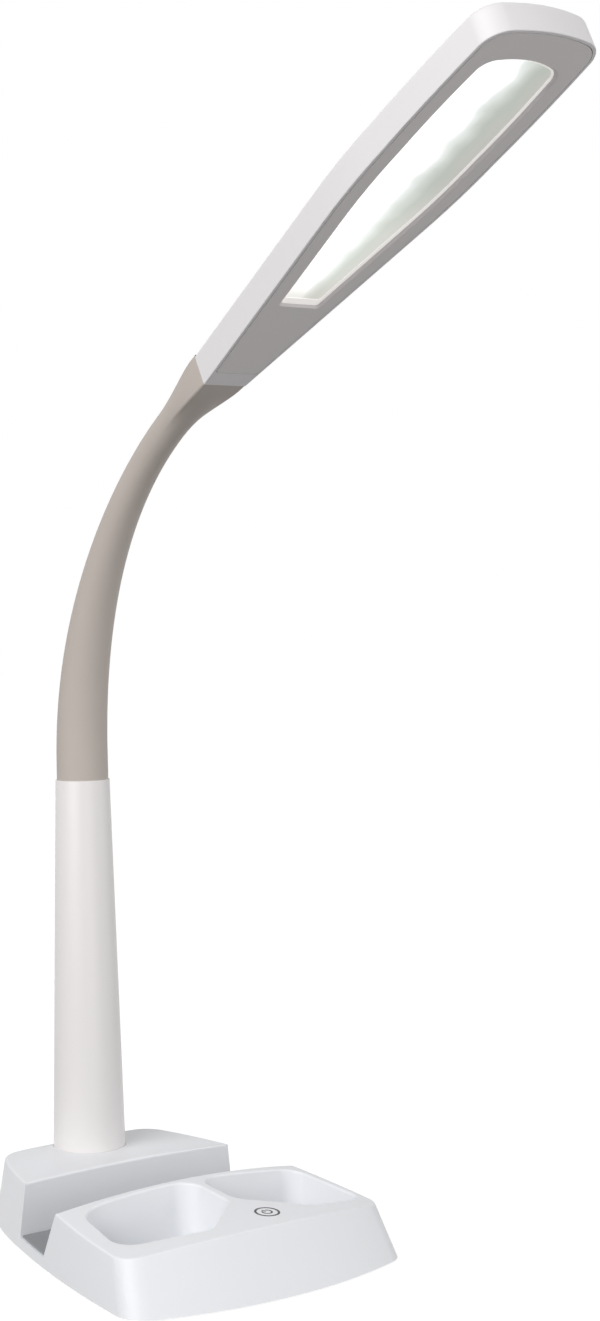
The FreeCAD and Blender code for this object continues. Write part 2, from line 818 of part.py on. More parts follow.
def make_boards():
    """The control board in the rear block and the touch board under the front block."""
    board = new_body("control_board")
    sketch = new_sketch(board, "control_board_plan", z="control_board_z")
    half, near, far = BOARD_HALF, BOARD_NEAR, BOARD_FAR
    outline(sketch, [(f"-{half}", near), (half, near), (half, far), (f"-{half}", far)])
    feature(board, "Pad", "control_board_slab", sketch, Length="board_thick")
    circles_cut(board, "board_holes", "screw_radius", BOARD_PLACES, "board_thick",
                "control_board_z", True)
    board_screws = [screw(f"board_screw_{number}", x, y, "control_board_z - screw_head_thick",
                          "screw_head_radius", "screw_head_thick", "screw_radius", "board_thick")
                    for number, (x, y) in enumerate(BOARD_PLACES, start=1)]
    touch = new_body("touch_board")
    disc = new_sketch(touch, "touch_board_plan", z="touch_board_z")
    circle(disc, "touch_board_radius", "touch_x", TOUCH_Y)
    feature(touch, "Pad", "touch_board_disc", disc, Length="board_thick")
    electrode = cylinder("touch_electrode", "touch_plate_radius", "touch_plate_thick",
                         "touch_x", TOUCH_Y, "touch_board_z + board_thick")
    return [board, touch, electrode] + group("board_screws", board_screws)


def make_inlet():
    """The low-voltage inlet in the back wall: a flanged barrel, its centre pin and nut."""
    share = "(jack_z - foot_gap) / form_height"
    slope = "atan(back_rake / form_height)"
    body = new_body("dc_inlet")
    revolve_half(body, "inlet", [
        ("jack_bore", "jack_flange"),
        ("jack_bore", "-jack_reach + jack_bottom"),
        ("jack_pin", "-jack_reach + jack_bottom"),
        ("jack_pin", "-jack_flange"),
        ("0", "-jack_flange"),
        ("0", "-jack_reach"),
        ("jack_radius", "-jack_reach"),
        ("jack_radius", "0"),
        ("jack_flange_radius", "0"),
        ("jack_flange_radius", "jack_flange"),
    ])
    nut = new_body("inlet_nut")
    revolve_half(nut, "inlet_nut", [
        ("jack_radius", "-housing_wall - jack_nut"),
        ("jack_flange_radius", "-housing_wall - jack_nut"),
        ("jack_flange_radius", "-housing_wall"),
        ("jack_radius", "-housing_wall"),
    ])
    for part in (body, nut):
        place(part, JACK_X, f"base_back - back_rake * {share}", "jack_z", f"{slope} - 90 deg")
    return [body, nut]


# Stem --------------------------------------------------------------------------------------


def place_on_stem(thing, along="0"):
    y, z = stem_point(along)
    place(thing, "0", y, z, "-stem_lean")
    return thing


def stem_radius(along):
    return f"(stem_foot_radius - (stem_foot_radius - stem_top_radius) * ({along}) / stem_length)"


def make_stem():
    """The conical stem with its threaded nipple, washer and nut, and the socket plug that
    holds the gooseneck in its top."""
    tube = new_body("stem_tube")
    revolve_half(tube, "stem", [
        ("nipple_radius", "0"),
        ("stem_foot_radius", "0"),
        ("stem_top_radius", "stem_length"),
        ("stem_top_radius - stem_wall", "stem_length"),
        (f"{stem_radius('stem_web')} - stem_wall", "stem_web"),
        ("nipple_radius", "stem_web"),
    ])
    nipple = new_body("stem_nipple")
    nut_top = "-boss_depth - washer_thick"
    below = f"{nut_top} - nut_thick - nipple_end"
    revolve_half(nipple, "nipple", [
        ("nipple_bore", below), ("nipple_radius", below),
        ("nipple_radius", "stem_web"), ("nipple_bore", "stem_web"),
    ])
    washer = new_body("stem_washer")
    washer_radius = "stem_inset - housing_wall - washer_clearance"
    revolve_half(washer, "washer", [
        ("nipple_radius", nut_top),
        (washer_radius, nut_top),
        (washer_radius, "-boss_depth"),
        ("nipple_radius", "-boss_depth"),
    ])
    nut = new_body("stem_nut")
    sketch = new_sketch(nut, "nut_plan", z=f"{nut_top} - nut_thick")
    hexagon(sketch, "nut_across")
    circle(sketch, "nipple_radius")
    feature(nut, "Pad", "nut_prism", sketch, Length="nut_thick")
    socket = new_body("neck_socket")
    foot = "stem_length - socket_length"
    revolve_half(socket, "socket", [
        ("core_radius", foot),
        (f"{stem_radius(foot)} - stem_wall", foot),
        ("stem_top_radius - stem_wall", "stem_length"),
        ("core_radius", "stem_length"),
    ])
    parts = [tube, nipple, washer, nut, socket]
    for part in parts:
        place_on_stem(part)
    return parts


def hexagon(sketch, across):
    """A hexagon with the given width across its flats."""
    radius = f"({across}) / (2 * cos(30))"
    outline(sketch, [(f"{radius} * cos({60 * corner})", f"{radius} * sin({60 * corner})")
                     for corner in range(6)])


# Gooseneck ---------------------------------------------------------------------------------


def hinge_angle(number):
    """How far round the neck's bend its joints lie; joint 1 is the lowest."""
    return f"(first_hinge + {number - 1} * hinge_pitch)"


def neck_place(thing, angle):
    """Set a piece's own frame on the neck's line at an angle round its bend, with its Z
    along the line; None is the neck's foot."""
    y, z = stem_point("stem_length")
    if angle is None:
        place(thing, "0", y, z, "-stem_lean")
        return thing
    y += (" + neck_straight * sin(stem_lean)"
          f" - neck_radius * (cos(stem_lean) - cos({angle} - stem_lean))")
    z += (" + neck_straight * cos(stem_lean)"
          f" + neck_radius * (sin({angle} - stem_lean) + sin(stem_lean))")
    place(thing, "0", y, z, f"{angle} - stem_lean")
    return thing


def sleeve_radius(angle):
    """Outer radius of the sleeve, which thins in a soft S from its foot to its end."""
    along = f"(neck_straight + neck_radius * ({angle}) * pi / 180)"
    return (f"(neck_lower_dia - (neck_lower_dia - neck_upper_dia)"
            f" * (1 - cos(180 * {along} / neck_taper_length)) / 2) / 2")


def ball_radius(number):
    return f"(ball_ratio * {sleeve_radius(hinge_angle(number))})"


def bend_offset(angle):
    """Where the neck's line is after a further angle of its bend, as (y, z)."""
    return f"-neck_radius * (1 - cos({angle}))", f"neck_radius * sin({angle})"


def ring(body, name, angle, radius):
    """A round section of the neck a further angle round its bend."""
    y, z = bend_offset(angle)
    sketch = new_sketch(body, name, y=y, z=z, turn=angle)
    circle(sketch, radius)
    return sketch


def cap_lower_end(body, name, number, reach):
    """Turn the lower end to a ball about the joint, clear of the socket below by the gap."""
    ball = f"({ball_radius(number)} - ball_gap)"
    rim = f"sqrt({ball}^2 - ({reach})^2)"
    bow = f"({ball} - sqrt({ball}^2 - (({reach})^2 + ({ball} - {rim})^2) / 4))"
    sketch = new_sketch(body, f"{name}_profile", "XZ_Plane")
    outline(sketch, [
        Corner("0", f"-{ball}", bow),
        Corner(reach, f"-{rim}"),
        Corner(reach, f"-2 * {ball}"),
        Corner("0", f"-2 * {ball}"),
    ])
    made = cut_feature(body, "Groove", name, sketch, ReferenceAxis=(sketch, ["V_Axis"]), Angle=360)
    return made


def hollow_upper_end(body, name, number, y, z):
    """Sink the socket that the ball of a joint turns in, about the joint's place."""
    DOC.recompute()
    before = body.Shape.Volume
    ball = body.newObject("PartDesign::SubtractiveSphere", name)
    ball.AttachmentSupport = (origin_plane(body, "XY_Plane"), "")
    ball.MapMode = "FlatFace"
    bind(ball, "AttachmentOffset.Base.y", y)
    bind(ball, "AttachmentOffset.Base.z", z)
    bind(ball, "Radius", ball_radius(number))
    DOC.recompute()
    if not body.Shape.Volume < before - 1e-3:
        raise RuntimeError(f"{body.Label}.{name} cut nothing")


def link_start(number):
    """The angle, below a joint, at which its piece's sections start, past the ball's end."""
    return f"(-1.1 * {ball_radius(number)} / neck_radius * 180 / pi)"


def make_link(number):
    """Sleeve and core of the neck between one joint and the next."""
    here = hinge_angle(number)
    low, high = link_start(number), "hinge_pitch"
    middle = f"({low} + {high}) / 2"
    sleeve = new_body(f"neck_sleeve_{number}")
    core = new_body(f"neck_core_{number}")
    skin, bore, rod = [], [], []
    for name, angle in (("low", low), ("middle", middle), ("high", high)):
        skin.append(ring(sleeve, f"skin_{name}", angle, sleeve_radius(f"{here} + {angle}")))
        rod.append(ring(core, f"rod_{name}", angle, "core_radius"))
    loft(sleeve, "AdditiveLoft", "skin", skin)
    for name, angle in (("low", low), ("middle", middle), ("high", high)):
        bore.append(ring(sleeve, f"bore_{name}", angle, "core_radius"))
    loft(sleeve, "SubtractiveLoft", "bore", bore)
    loft(core, "AdditiveLoft", "rod", rod)
    cap_lower_end(sleeve, "sleeve_cap", number, f"0.97 * ({ball_radius(number)} - ball_gap)")
    cap_lower_end(core, "core_cap", number, "1.3 * core_radius")
    for body in (sleeve, core):
        hollow_upper_end(body, f"socket_{number}", number + 1, *bend_offset("hinge_pitch"))
        neck_place(body, here)
    return [sleeve, core]


def root_loft(body, name, kind, radii, below):
    """Straight from below the neck's foot to its bend, then on to the first joint."""
    foot = new_sketch(body, f"{name}_foot", z=f"-({below})")
    shoulder = new_sketch(body, f"{name}_shoulder", z="neck_straight")
    bend_foot = new_sketch(body, f"{name}_bend_foot", z="neck_straight")
    y, z = bend_offset("first_hinge")
    bend_top = new_sketch(body, f"{name}_bend_top", y=y, z=f"neck_straight + {z}",
                          turn="first_hinge")
    for sketch, radius in zip((foot, shoulder, bend_foot, bend_top),
                              (radii[0], radii[1], radii[1], radii[2])):
        circle(sketch, radius)
    loft(body, kind, f"{name}_straight", [foot, shoulder])
    loft(body, kind, f"{name}_bend", [bend_foot, bend_top])


def make_neck_root():
    """The lowest stretch of the neck, fixed in the top of the stem."""
    sleeve = new_body("neck_sleeve_root")
    core = new_body("neck_core_root")
    skin = ("neck_lower_dia / 2", sleeve_radius("0"), sleeve_radius("first_hinge"))
    root_loft(sleeve, "skin", "AdditiveLoft", skin, "0")
    root_loft(sleeve, "bore", "SubtractiveLoft", ("core_radius",) * 3, "0")
    root_loft(core, "rod", "AdditiveLoft", ("core_radius",) * 3, "socket_length")
    y, z = bend_offset("first_hinge")
    for body in (sleeve, core):
        hollow_upper_end(body, "socket_0", 1, y, f"neck_straight + {z}")
        neck_place(body, None)
    return [sleeve, core]


def rounded_box(sketch, half_width, half_height, corner):
    """A rectangle about the sketch's origin with rounded corners."""
    wide, high = f"({half_width})", f"({half_height})"
    outline(sketch, [
        Corner(f"-{wide}", f"-{high}", None, corner),
        Corner(wide, f"-{high}", None, corner),
        Corner(wide, high, None, corner),
        Corner(f"-{wide}", high, None, corner),
    ])


def end_section(body, name, angle, straight, half_width, half_height, corner):
    """A section of the neck's upper end, past the bend by a straight run."""
    y, z = bend_offset(angle)
    sketch = new_sketch(body, name, y=f"{y} - ({straight}) * sin({angle})",
                        z=f"{z} + ({straight}) * cos({angle})", turn=angle)
    if half_height is None:
        circle(sketch, half_width)
    else:
        rounded_box(sketch, half_width, half_height, corner)
    return sketch


def make_neck_end():
    """The neck's upper end: the sleeve flares from round to the head's flat section, and
    the core runs on into the head."""
    number = HINGES
    here = hinge_angle(number)
    low, rest = link_start(number), f"(neck_bend - {here})"
    foot = sleeve_radius(f"{here} + {low}")
    start = sleeve_radius(f"{here} + 2")
    flare = new_body("neck_flare")
    sizes = {
        "low": (low, "0", foot, foot, f"0.98 * {foot}"),
        "start": ("2", "0", start, start, f"0.98 * {start}"),
        "mid": (f"{rest} / 2", "0", "flare_mid_half", start, "flare_mid_round"),
        "bend_end": (rest, "0", "flare_end_half", "flare_end_rise", "flare_end_round"),
        "head": (rest, "neck_end_straight", "head_neck_half", "head_neck_height / 2",
                 "flare_head_round"),
    }
    for name, stops in (("foot", ("low", "start")), ("flare", ("start", "mid", "bend_end")),
                        ("wedge", ("bend_end", "head"))):
        loft(flare, "AdditiveLoft", name,
             [end_section(flare, f"{name}_{stop}", *sizes[stop]) for stop in stops])
    core = new_body("neck_core_tip")
    for body, kind in ((flare, "SubtractiveLoft"), (core, "AdditiveLoft")):
        bend = [end_section(body, f"bore_bend_{index}", angle, "0", "core_radius", None, None)
                for index, angle in enumerate((low, f"({low} + {rest}) / 2", rest))]
        loft(body, kind, "core_bend", bend)
        reach = "neck_end_straight" + (" + tip_length" if body is core else "")
        run = [end_section(body, f"bore_run_{index}", rest, length, "core_radius", None, None)
               for index, length in enumerate(("0", reach))]
        loft(body, kind, "core_run", run)
    cap_lower_end(flare, "flare_cap", number, f"0.97 * ({ball_radius(number)} - ball_gap)")
    cap_lower_end(core, "core_cap", number, "1.3 * core_radius")
    return [neck_place(flare, here), neck_place(core, here)]


# Head --------------------------------------------------------------------------------------


HEAD_BOTTOM = "(-head_neck_height / 2)"
HEAD_CEILING = "(head_tip_height - head_neck_height / 2 - head_wall)"
CAVITY_INSET = "(panel_rim + panel_ledge)"
CAVITY_START = "(panel_start + panel_ledge)"


def head_place(thing):
    """Set a piece in the head's frame: the head lies along its -Y, from the neck's end."""
    y, z = stem_point("stem_length")
    tilt = "(neck_bend - stem_lean)"
    y += (" + neck_straight * sin(stem_lean)"
          f" - neck_radius * (cos(stem_lean) - cos{tilt}) - neck_end_straight * sin{tilt}")
    z += (" + neck_straight * cos(stem_lean)"
          f" + neck_radius * (sin{tilt} + sin(stem_lean)) + neck_end_straight * cos{tilt}")
    place(thing, "0", y, z, f"{tilt} - 90")
    return thing


def head_outline(start="0", inset="0", tip="0", corner="head_corner"):
    """The paddle-shaped plan of the head, from a start along it, drawn in at its sides by
    an inset and at its tip by its own."""
    slope = "(head_taper_half - head_neck_half) / head_taper_end"
    start_x = f"(head_neck_half + {slope} * ({start}) - ({inset}))"
    taper_x = f"(head_taper_half - ({inset}))"
    full_x = f"(head_full_half - ({inset}))"
    tip_x = f"(head_tip_half - ({inset}))"
    tip_y = f"(head_tip_bow + ({tip}) - head_length)"
    return [
        Corner(f"-{start_x}", f"-({start})"),
        Corner(f"-{taper_x}", "-head_taper_end", "head_taper_bow"),
        Corner(f"-{full_x}", "-head_full_at", "head_shoulder_bow"),
        Corner(f"-{tip_x}", tip_y, "head_tip_bow", corner),
        Corner(tip_x, tip_y, "head_shoulder_bow", corner),
        Corner(full_x, "-head_full_at", "head_taper_bow"),
        Corner(taper_x, "-head_taper_end"),
        Corner(start_x, f"-({start})"),
    ]


def head_sketch(body, name, z, **sizes):
    """A plan of the head at a height in its own frame."""
    sketch = new_sketch(body, name, z=z)
    corners = head_outline(**sizes)
    if "start" in sizes:
        first, last = corners[0], corners[-1]
        corners[0] = first._replace(round="inner_corner")
        corners[-1] = last._replace(round="inner_corner")
    outline(sketch, corners)
    return sketch


def panel_sizes(inset, extra="0"):
    """Plan sizes of the bottom panel's family, drawn in from the head's outline."""
    return {"start": f"panel_start + ({extra})", "inset": inset, "tip": inset,
            "corner": f"head_corner - ({inset})"}


def window_sizes(grow):
    """Plan sizes of the window, with every side moved out by grow."""
    return {"start": f"window_start - ({grow})", "inset": f"window_margin - ({grow})",
            "tip": f"window_tip_margin - ({grow})", "corner": f"window_corner + ({grow})"}


def make_head_shell():
    """The upper moulding: a closed band round the neck's end, and a hollow under a top
    that thins towards the tip."""
    body = new_body("head_shell")
    plan = new_sketch(body, "head_plan", z=HEAD_BOTTOM)
    outline(plan, head_outline())
    feature(body, "Pad", "head_block", plan, Length="head_neck_height")
    slope = new_sketch(body, "head_slope", "YZ_Plane")
    far, rise = "-(head_length + 10)", "(head_neck_height - head_tip_height)"
    outline(slope, [
        ("0", "head_neck_height / 2"),
        (far, f"head_neck_height / 2 - {rise} * (head_length + 10) / head_length"),
        (far, "head_neck_height"),
        ("0", "head_neck_height"),
    ])
    cut_feature(body, "Pocket", "top_slope", slope, Length="4 * head_full_half", Midplane=True)
    top = max(body.Shape.Faces, key=lambda face: face.CenterOfMass.z)
    round_edges(body, "top_round", "head_edge_round",
                along_rim([edge for edge in top.Edges]))
    bottom = min(body.Shape.Faces, key=lambda face: face.CenterOfMass.z)
    round_edges(body, "lip_round", "head_lip_round", along_rim(bottom.Edges))
    recess = head_sketch(body, "recess_plan", HEAD_BOTTOM, **panel_sizes("panel_rim"))
    cut_feature(body, "Pocket", "panel_recess", recess, Length="panel_thick", Reversed=True)
    cavity = head_sketch(body, "cavity_plan", HEAD_BOTTOM,
                         **panel_sizes(CAVITY_INSET, "panel_ledge"))
    cut_feature(body, "Pocket", "cavity", cavity, Reversed=True,
                Length=f"{HEAD_CEILING} - {HEAD_BOTTOM}")
    tunnel = new_sketch(body, "tunnel_circle", "XZ_Plane")
    circle(tunnel, "core_radius")
    cut_feature(body, "Pocket", "core_tunnel", tunnel, Length=CAVITY_START, Reversed=True)
    circles_cut(body, "bracket_holes", "screw_radius", BRACKET_SCREWS, "bracket_bite",
                HEAD_CEILING, True)
    return head_place(body)


def along_rim(edges):
    """Choose edges among these, but not those that meet the neck at the head's start."""
    places = [edge.CenterOfMass for edge in edges if edge.CenterOfMass.y < -0.5]
    return lambda edge: any(edge.CenterOfMass.distanceToPoint(at) < 1e-4 for at in places)


BRACKET_SCREWS = [("-bracket_screw_x", "-bracket_screw_u"),
                  ("bracket_screw_x", "-bracket_screw_u")]


def make_head_panel():
    """The bottom panel, flush in the shell, with a bevelled window for the light."""
    body = new_body("head_panel")
    inset = "panel_rim + panel_gap"
    plan = head_sketch(body, "panel_plan", HEAD_BOTTOM, **panel_sizes(inset, "panel_gap"))
    feature(body, "Pad", "panel_sheet", plan, Length="panel_thick")
    window = head_sketch(body, "window_plan", HEAD_BOTTOM, **window_sizes("0"))
    cut_feature(body, "Pocket", "window", window, Length="panel_thick", Reversed=True)
    bevel = [
        head_sketch(body, "bevel_low", HEAD_BOTTOM, **window_sizes("window_bevel")),
        head_sketch(body, "bevel_high", f"{HEAD_BOTTOM} + window_bevel", **window_sizes("0")),
    ]
    loft(body, "SubtractiveLoft", "window_bevel", bevel)
    return head_place(body)


def make_light():
    """The diffuser over the window, and the board with two rows of LEDs above it."""
    diffuser = new_body("diffuser")
    plan = head_sketch(diffuser, "diffuser_plan", f"{HEAD_BOTTOM} + panel_thick",
                       **window_sizes("diffuser_lap"))
    feature(diffuser, "Pad", "diffuser_sheet", plan, Length="diffuser_thick")
    board = new_body("led_board")
    plan = head_sketch(board, "led_board_plan", f"{HEAD_CEILING} - led_board_thick",
                       **window_sizes("-led_board_inset"))
    feature(board, "Pad", "led_board_sheet", plan, Length="led_board_thick")
    leds = []
    for row, side in (("left", "-led_row_half"), ("right", "led_row_half")):
        for number in range(LEDS_PER_ROW):
            led = new_led(f"led_{row}_{number + 1}", side, number)
            leds.append(head_place(led))
    return [head_place(diffuser), head_place(board)] + group("leds", leds)


def new_led(label, side, number):
    """One LED: a small block at its place in the head's frame."""
    body = new_body(label)
    sketch = new_sketch(body, f"{label}_plan", x=side,
                        y=f"-(first_led + {number} * led_pitch)",
                        z=f"{HEAD_CEILING} - led_board_thick - led_thick")
    rounded_box(sketch, "led_wide / 2", "led_long / 2", "led_round")
    feature(body, "Pad", f"{label}_block", sketch, Length="led_thick")
    return body


def make_bracket():
    """The block that grips the core's tip, screwed up into the shell's top."""
    body = new_body("head_bracket")
    sketch = new_sketch(body, "bracket_plan", z=f"{HEAD_CEILING} - bracket_height")
    near = f"-({CAVITY_START} + panel_gap)"
    far = f"{near} - bracket_length"
    outline(sketch, [("-bracket_half", far), ("bracket_half", far),
                     ("bracket_half", near), ("-bracket_half", near)])
    feature(body, "Pad", "bracket_block", sketch, Length="bracket_height")
    bore = new_sketch(body, "bracket_bore_circle", "XZ_Plane")
    circle(bore, "core_radius")
    cut_feature(body, "Pocket", "bracket_bore", bore, Length="tip_length", Reversed=True)
    circles_cut(body, "bracket_screw_holes", "screw_radius", BRACKET_SCREWS,
                "bracket_height", f"{HEAD_CEILING} - bracket_height", True)
    circles_cut(body, "bracket_head_seats", "screw_head_radius + screw_gap", BRACKET_SCREWS,
                "screw_head_thick", f"{HEAD_CEILING} - bracket_height", True)
    screws = new_body("bracket_screws")
    for name, radius, length in (
            ("heads", "screw_head_radius", "screw_head_thick"),
            ("shanks", "screw_radius", "bracket_height + bracket_bite - 0.5")):
        sketch = new_sketch(screws, f"{name}_circles", z=f"{HEAD_CEILING} - bracket_height")
        for x, y in BRACKET_SCREWS:
            circle(sketch, radius, x, y)
        feature(screws, "Pad", name, sketch, Length=length)
    return [head_place(body), head_place(screws)]


def make_nodes():
    """Every part of the lamp, from the desk up."""
    nodes = make_base_shell() + make_base_plate() + make_feet() + make_base_fasteners()
    nodes += make_slot_pad() + make_ballast() + make_boards() + make_inlet() + make_stem()
    nodes += make_neck_root()
    for number in range(1, HINGES):
        nodes += make_link(number)
    nodes += make_neck_end() + make_bracket()
    nodes += [make_head_shell(), make_head_panel()] + make_light()
    return nodes


def check_document():
    """Stop where any object failed to build."""
    for thing in DOC.Objects:
        faults = [state for state in thing.State if state in ("Invalid", "Error")]
        if faults:
            raise RuntimeError(f"{thing.Label} is {', '.join(faults)}")


def check_shape(node):
    if node.Shape.isNull() or not node.Shape.isValid() or not node.Shape.Solids:
        raise RuntimeError(f"{node.Label} has no valid solid")


def main():
    nodes = make_nodes()
    DOC.recompute()
    check_document()
    os.makedirs("parts", exist_ok=True)
    for node in nodes:
        check_shape(node)
        node.Shape.exportStep(f"parts/{node.Label}.step")
        print(node.Label, len(node.Shape.Solids), round(node.Shape.Volume))


main()
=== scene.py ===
# %% [markdown]
# # A desk lamp with an organiser base
# The lamp is a moulded base with a phone slot and two cups, a conical stem, a bending neck in
# a silicone sleeve, and a flat head with a lit window. The engineering model is loaded first
# and stays where it is: it gives every part its true size and place. The parts that show are
# then finished one by one. Lengths are in metres, +Z is up, and the user sits on the -Y side.

# %% Load the engineering model
import json
import math

import bmesh
import bpy
from mathutils import Matrix, Vector


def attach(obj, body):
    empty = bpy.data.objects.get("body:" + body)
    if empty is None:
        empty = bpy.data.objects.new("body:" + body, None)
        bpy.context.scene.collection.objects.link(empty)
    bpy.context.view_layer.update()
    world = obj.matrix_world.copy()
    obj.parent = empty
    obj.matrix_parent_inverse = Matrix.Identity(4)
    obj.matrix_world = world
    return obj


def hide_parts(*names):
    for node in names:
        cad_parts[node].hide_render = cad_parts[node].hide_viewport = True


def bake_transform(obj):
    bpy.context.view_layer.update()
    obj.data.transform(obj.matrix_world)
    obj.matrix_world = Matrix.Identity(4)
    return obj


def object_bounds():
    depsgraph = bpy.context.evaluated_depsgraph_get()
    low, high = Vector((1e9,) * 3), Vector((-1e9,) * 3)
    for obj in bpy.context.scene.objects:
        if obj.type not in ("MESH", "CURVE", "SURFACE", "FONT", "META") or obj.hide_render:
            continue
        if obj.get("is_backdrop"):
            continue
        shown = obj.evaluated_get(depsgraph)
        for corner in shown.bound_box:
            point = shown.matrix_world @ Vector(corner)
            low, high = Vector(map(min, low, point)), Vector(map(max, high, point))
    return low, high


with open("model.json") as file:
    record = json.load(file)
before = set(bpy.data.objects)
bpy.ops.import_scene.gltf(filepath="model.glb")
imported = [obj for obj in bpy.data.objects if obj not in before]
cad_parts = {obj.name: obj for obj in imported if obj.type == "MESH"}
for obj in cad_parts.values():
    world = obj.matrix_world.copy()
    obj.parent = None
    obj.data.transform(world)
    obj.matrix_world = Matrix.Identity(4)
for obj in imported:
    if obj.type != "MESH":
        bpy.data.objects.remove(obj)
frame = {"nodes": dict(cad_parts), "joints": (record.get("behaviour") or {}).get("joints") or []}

CAD_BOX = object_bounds()
MM = 0.001
LINKS = 6  # the neck's moving links, between the base and the head
print("size in mm:", [round((high - low) / MM, 1) for low, high in zip(*CAD_BOX)])

# %% [markdown]
# ## Camera
# The camera comes first, so that each later piece can be checked in the view it is made for.
# It stands in front of the lamp and to its left, a little above the middle of its height, and
# looks slightly down. A long lens (63.5 mm on a 36 mm frame) keeps the lamp's upright lines
# nearly parallel, as in a catalogue.

# %% Set the camera
camera_data = bpy.data.cameras.new("camera")
camera_data.lens = 63.5
camera_data.sensor_width = 36.0
camera = bpy.data.objects.new("camera", camera_data)
camera.location = (-0.65398, -0.97925, 0.37152)
camera.rotation_euler = [math.radians(angle) for angle in (86.59, 0.0, -36.84)]
bpy.context.scene.collection.objects.link(camera)
bpy.context.scene.camera = camera
print("camera stands", round(camera.location.length, 2), "m from the base")

# %% [markdown]
# ## Selecting and measuring
# Operators act on whatever is selected, and loading leaves the engineering parts selected.
# So each piece starts from nothing selected, and faces or edges are picked in code by where
# they are. These few helpers do that for every piece below, and three more close its mesh,
# apply its modifiers and turn a skin into a wall.


# %% Helpers that select
def deselect_all():
    """Leave edit mode and select nothing."""
    if bpy.context.mode != "OBJECT":
        bpy.ops.object.mode_set(mode="OBJECT")
    bpy.ops.object.select_all(action="DESELECT")


def activate(piece):
    """Make one piece the selected and active one."""
    deselect_all()
    piece.select_set(True)
    bpy.context.view_layer.objects.active = piece


def edit(piece, mode="FACE"):
    """Open a piece in edit mode with nothing in it selected."""
    activate(piece)
    bpy.ops.object.mode_set(mode="EDIT")
    bpy.ops.mesh.select_mode(type=mode)
    bpy.ops.mesh.select_all(action="DESELECT")


def choose(piece, kind, test):
    """Select the vertices, edges or faces that pass a test, and return how many did."""
    mesh = bmesh.from_edit_mesh(piece.data)
    found = [part for part in getattr(mesh, kind) if test(part)]
    for part in found:
        part.select_set(True)
    mesh.select_flush_mode()
    bmesh.update_edit_mesh(piece.data)
    return len(found)


# %% Helpers that finish a mesh
SAME_POINT = 1e-6


def finish_mesh(piece, name, smooth_angle=35.0):
    """Bake the piece's place into its mesh, close doubled points and smooth its curves."""
    activate(piece)
    bpy.ops.object.transform_apply(location=True, rotation=True, scale=True)
    bpy.ops.object.mode_set(mode="EDIT")
    bpy.ops.mesh.select_all(action="SELECT")
    bpy.ops.mesh.remove_doubles(threshold=SAME_POINT)
    bpy.ops.mesh.normals_make_consistent(inside=False)
    bpy.ops.object.mode_set(mode="OBJECT")
    bpy.ops.object.shade_smooth_by_angle(angle=math.radians(smooth_angle))
    piece.name = piece.data.name = name
    print(name, len(piece.data.polygons), "faces")


def apply_modifiers(piece):
    """Make the piece's modifiers part of its mesh."""
    activate(piece)
    for modifier in list(piece.modifiers):
        bpy.ops.object.modifier_apply(modifier=modifier.name)


def give_wall(piece, thickness):
    """Turn an open skin into a wall that lies inside it."""
    edit(piece)
    bpy.ops.mesh.select_all(action="SELECT")
    bpy.ops.mesh.normals_make_consistent(inside=False)
    bpy.ops.object.mode_set(mode="OBJECT")
    wall = piece.modifiers.new("wall", "SOLIDIFY")
    wall.thickness = thickness
    wall.offset = -1.0
    apply_modifiers(piece)


# %% [markdown]
# ## Shared surface effects
# Moulded plastic, rubber and metal all have a fine texture that breaks up their highlights,
# and their colour is never perfectly even. Each effect is built once as a node group with
# named inputs, and every material places it with values of its own. The groups only put out
# colours, values and normals: the shader itself stays in each material.


# %% Node helpers
def new_group(name, inputs, outputs):
    """An empty shader node group with named sockets: (name, kind, default)."""
    group = bpy.data.node_groups.new(name, "ShaderNodeTree")
    for label, kind, default in inputs:
        socket = group.interface.new_socket(label, in_out="INPUT", socket_type=kind)
        if default is not None:
            socket.default_value = default
    for label, kind in outputs:
        group.interface.new_socket(label, in_out="OUTPUT", socket_type=kind)
    start = group.nodes.new("NodeGroupInput")
    end = group.nodes.new("NodeGroupOutput")
    start.location, end.location = (-900, 0), (500, 0)
    return group, start, end


def add_node(tree, kind, location, **settings):
    """Add a node, and set its inputs and options by their names."""
    node = tree.nodes.new(kind)
    node.location = location
    for key, setting in settings.items():
        if key in node.inputs:
            node.inputs[key].default_value = setting
        else:
            setattr(node, key, setting)
    return node


# %% Group: fine surface grain
# A noise in the piece's own coordinates lifts and lowers the surface by a hundredth of a
# millimetre or so, and a second, wider one makes the roughness drift a little.
GRAIN, grain_in, grain_out = new_group(
    "surface_grain",
    [("Vector", "NodeSocketVector", None), ("Grain Size mm", "NodeSocketFloat", 0.5),
     ("Depth mm", "NodeSocketFloat", 0.02), ("Roughness", "NodeSocketFloat", 0.5),
     ("Drift", "NodeSocketFloat", 0.06)],
    [("Normal", "NodeSocketVector"), ("Roughness", "NodeSocketFloat")])
inverse = add_node(GRAIN, "ShaderNodeMath", (-700, 120), operation="DIVIDE")
inverse.inputs[0].default_value = 1 / MM
noise = add_node(GRAIN, "ShaderNodeTexNoise", (-480, 120), Detail=2.0, Roughness=0.6)
depth = add_node(GRAIN, "ShaderNodeMath", (-480, -120), operation="MULTIPLY")
depth.inputs[1].default_value = MM
bump = add_node(GRAIN, "ShaderNodeBump", (120, 120), Strength=1.0)
drift_noise = add_node(GRAIN, "ShaderNodeTexNoise", (-480, -300), Scale=18.0, Detail=3.0)
centred = add_node(GRAIN, "ShaderNodeMath", (-260, -300), operation="SUBTRACT")
centred.inputs[1].default_value = 0.5
scaled = add_node(GRAIN, "ShaderNodeMath", (-80, -300), operation="MULTIPLY")
total = add_node(GRAIN, "ShaderNodeMath", (120, -300), operation="ADD", use_clamp=True)
link = GRAIN.links.new
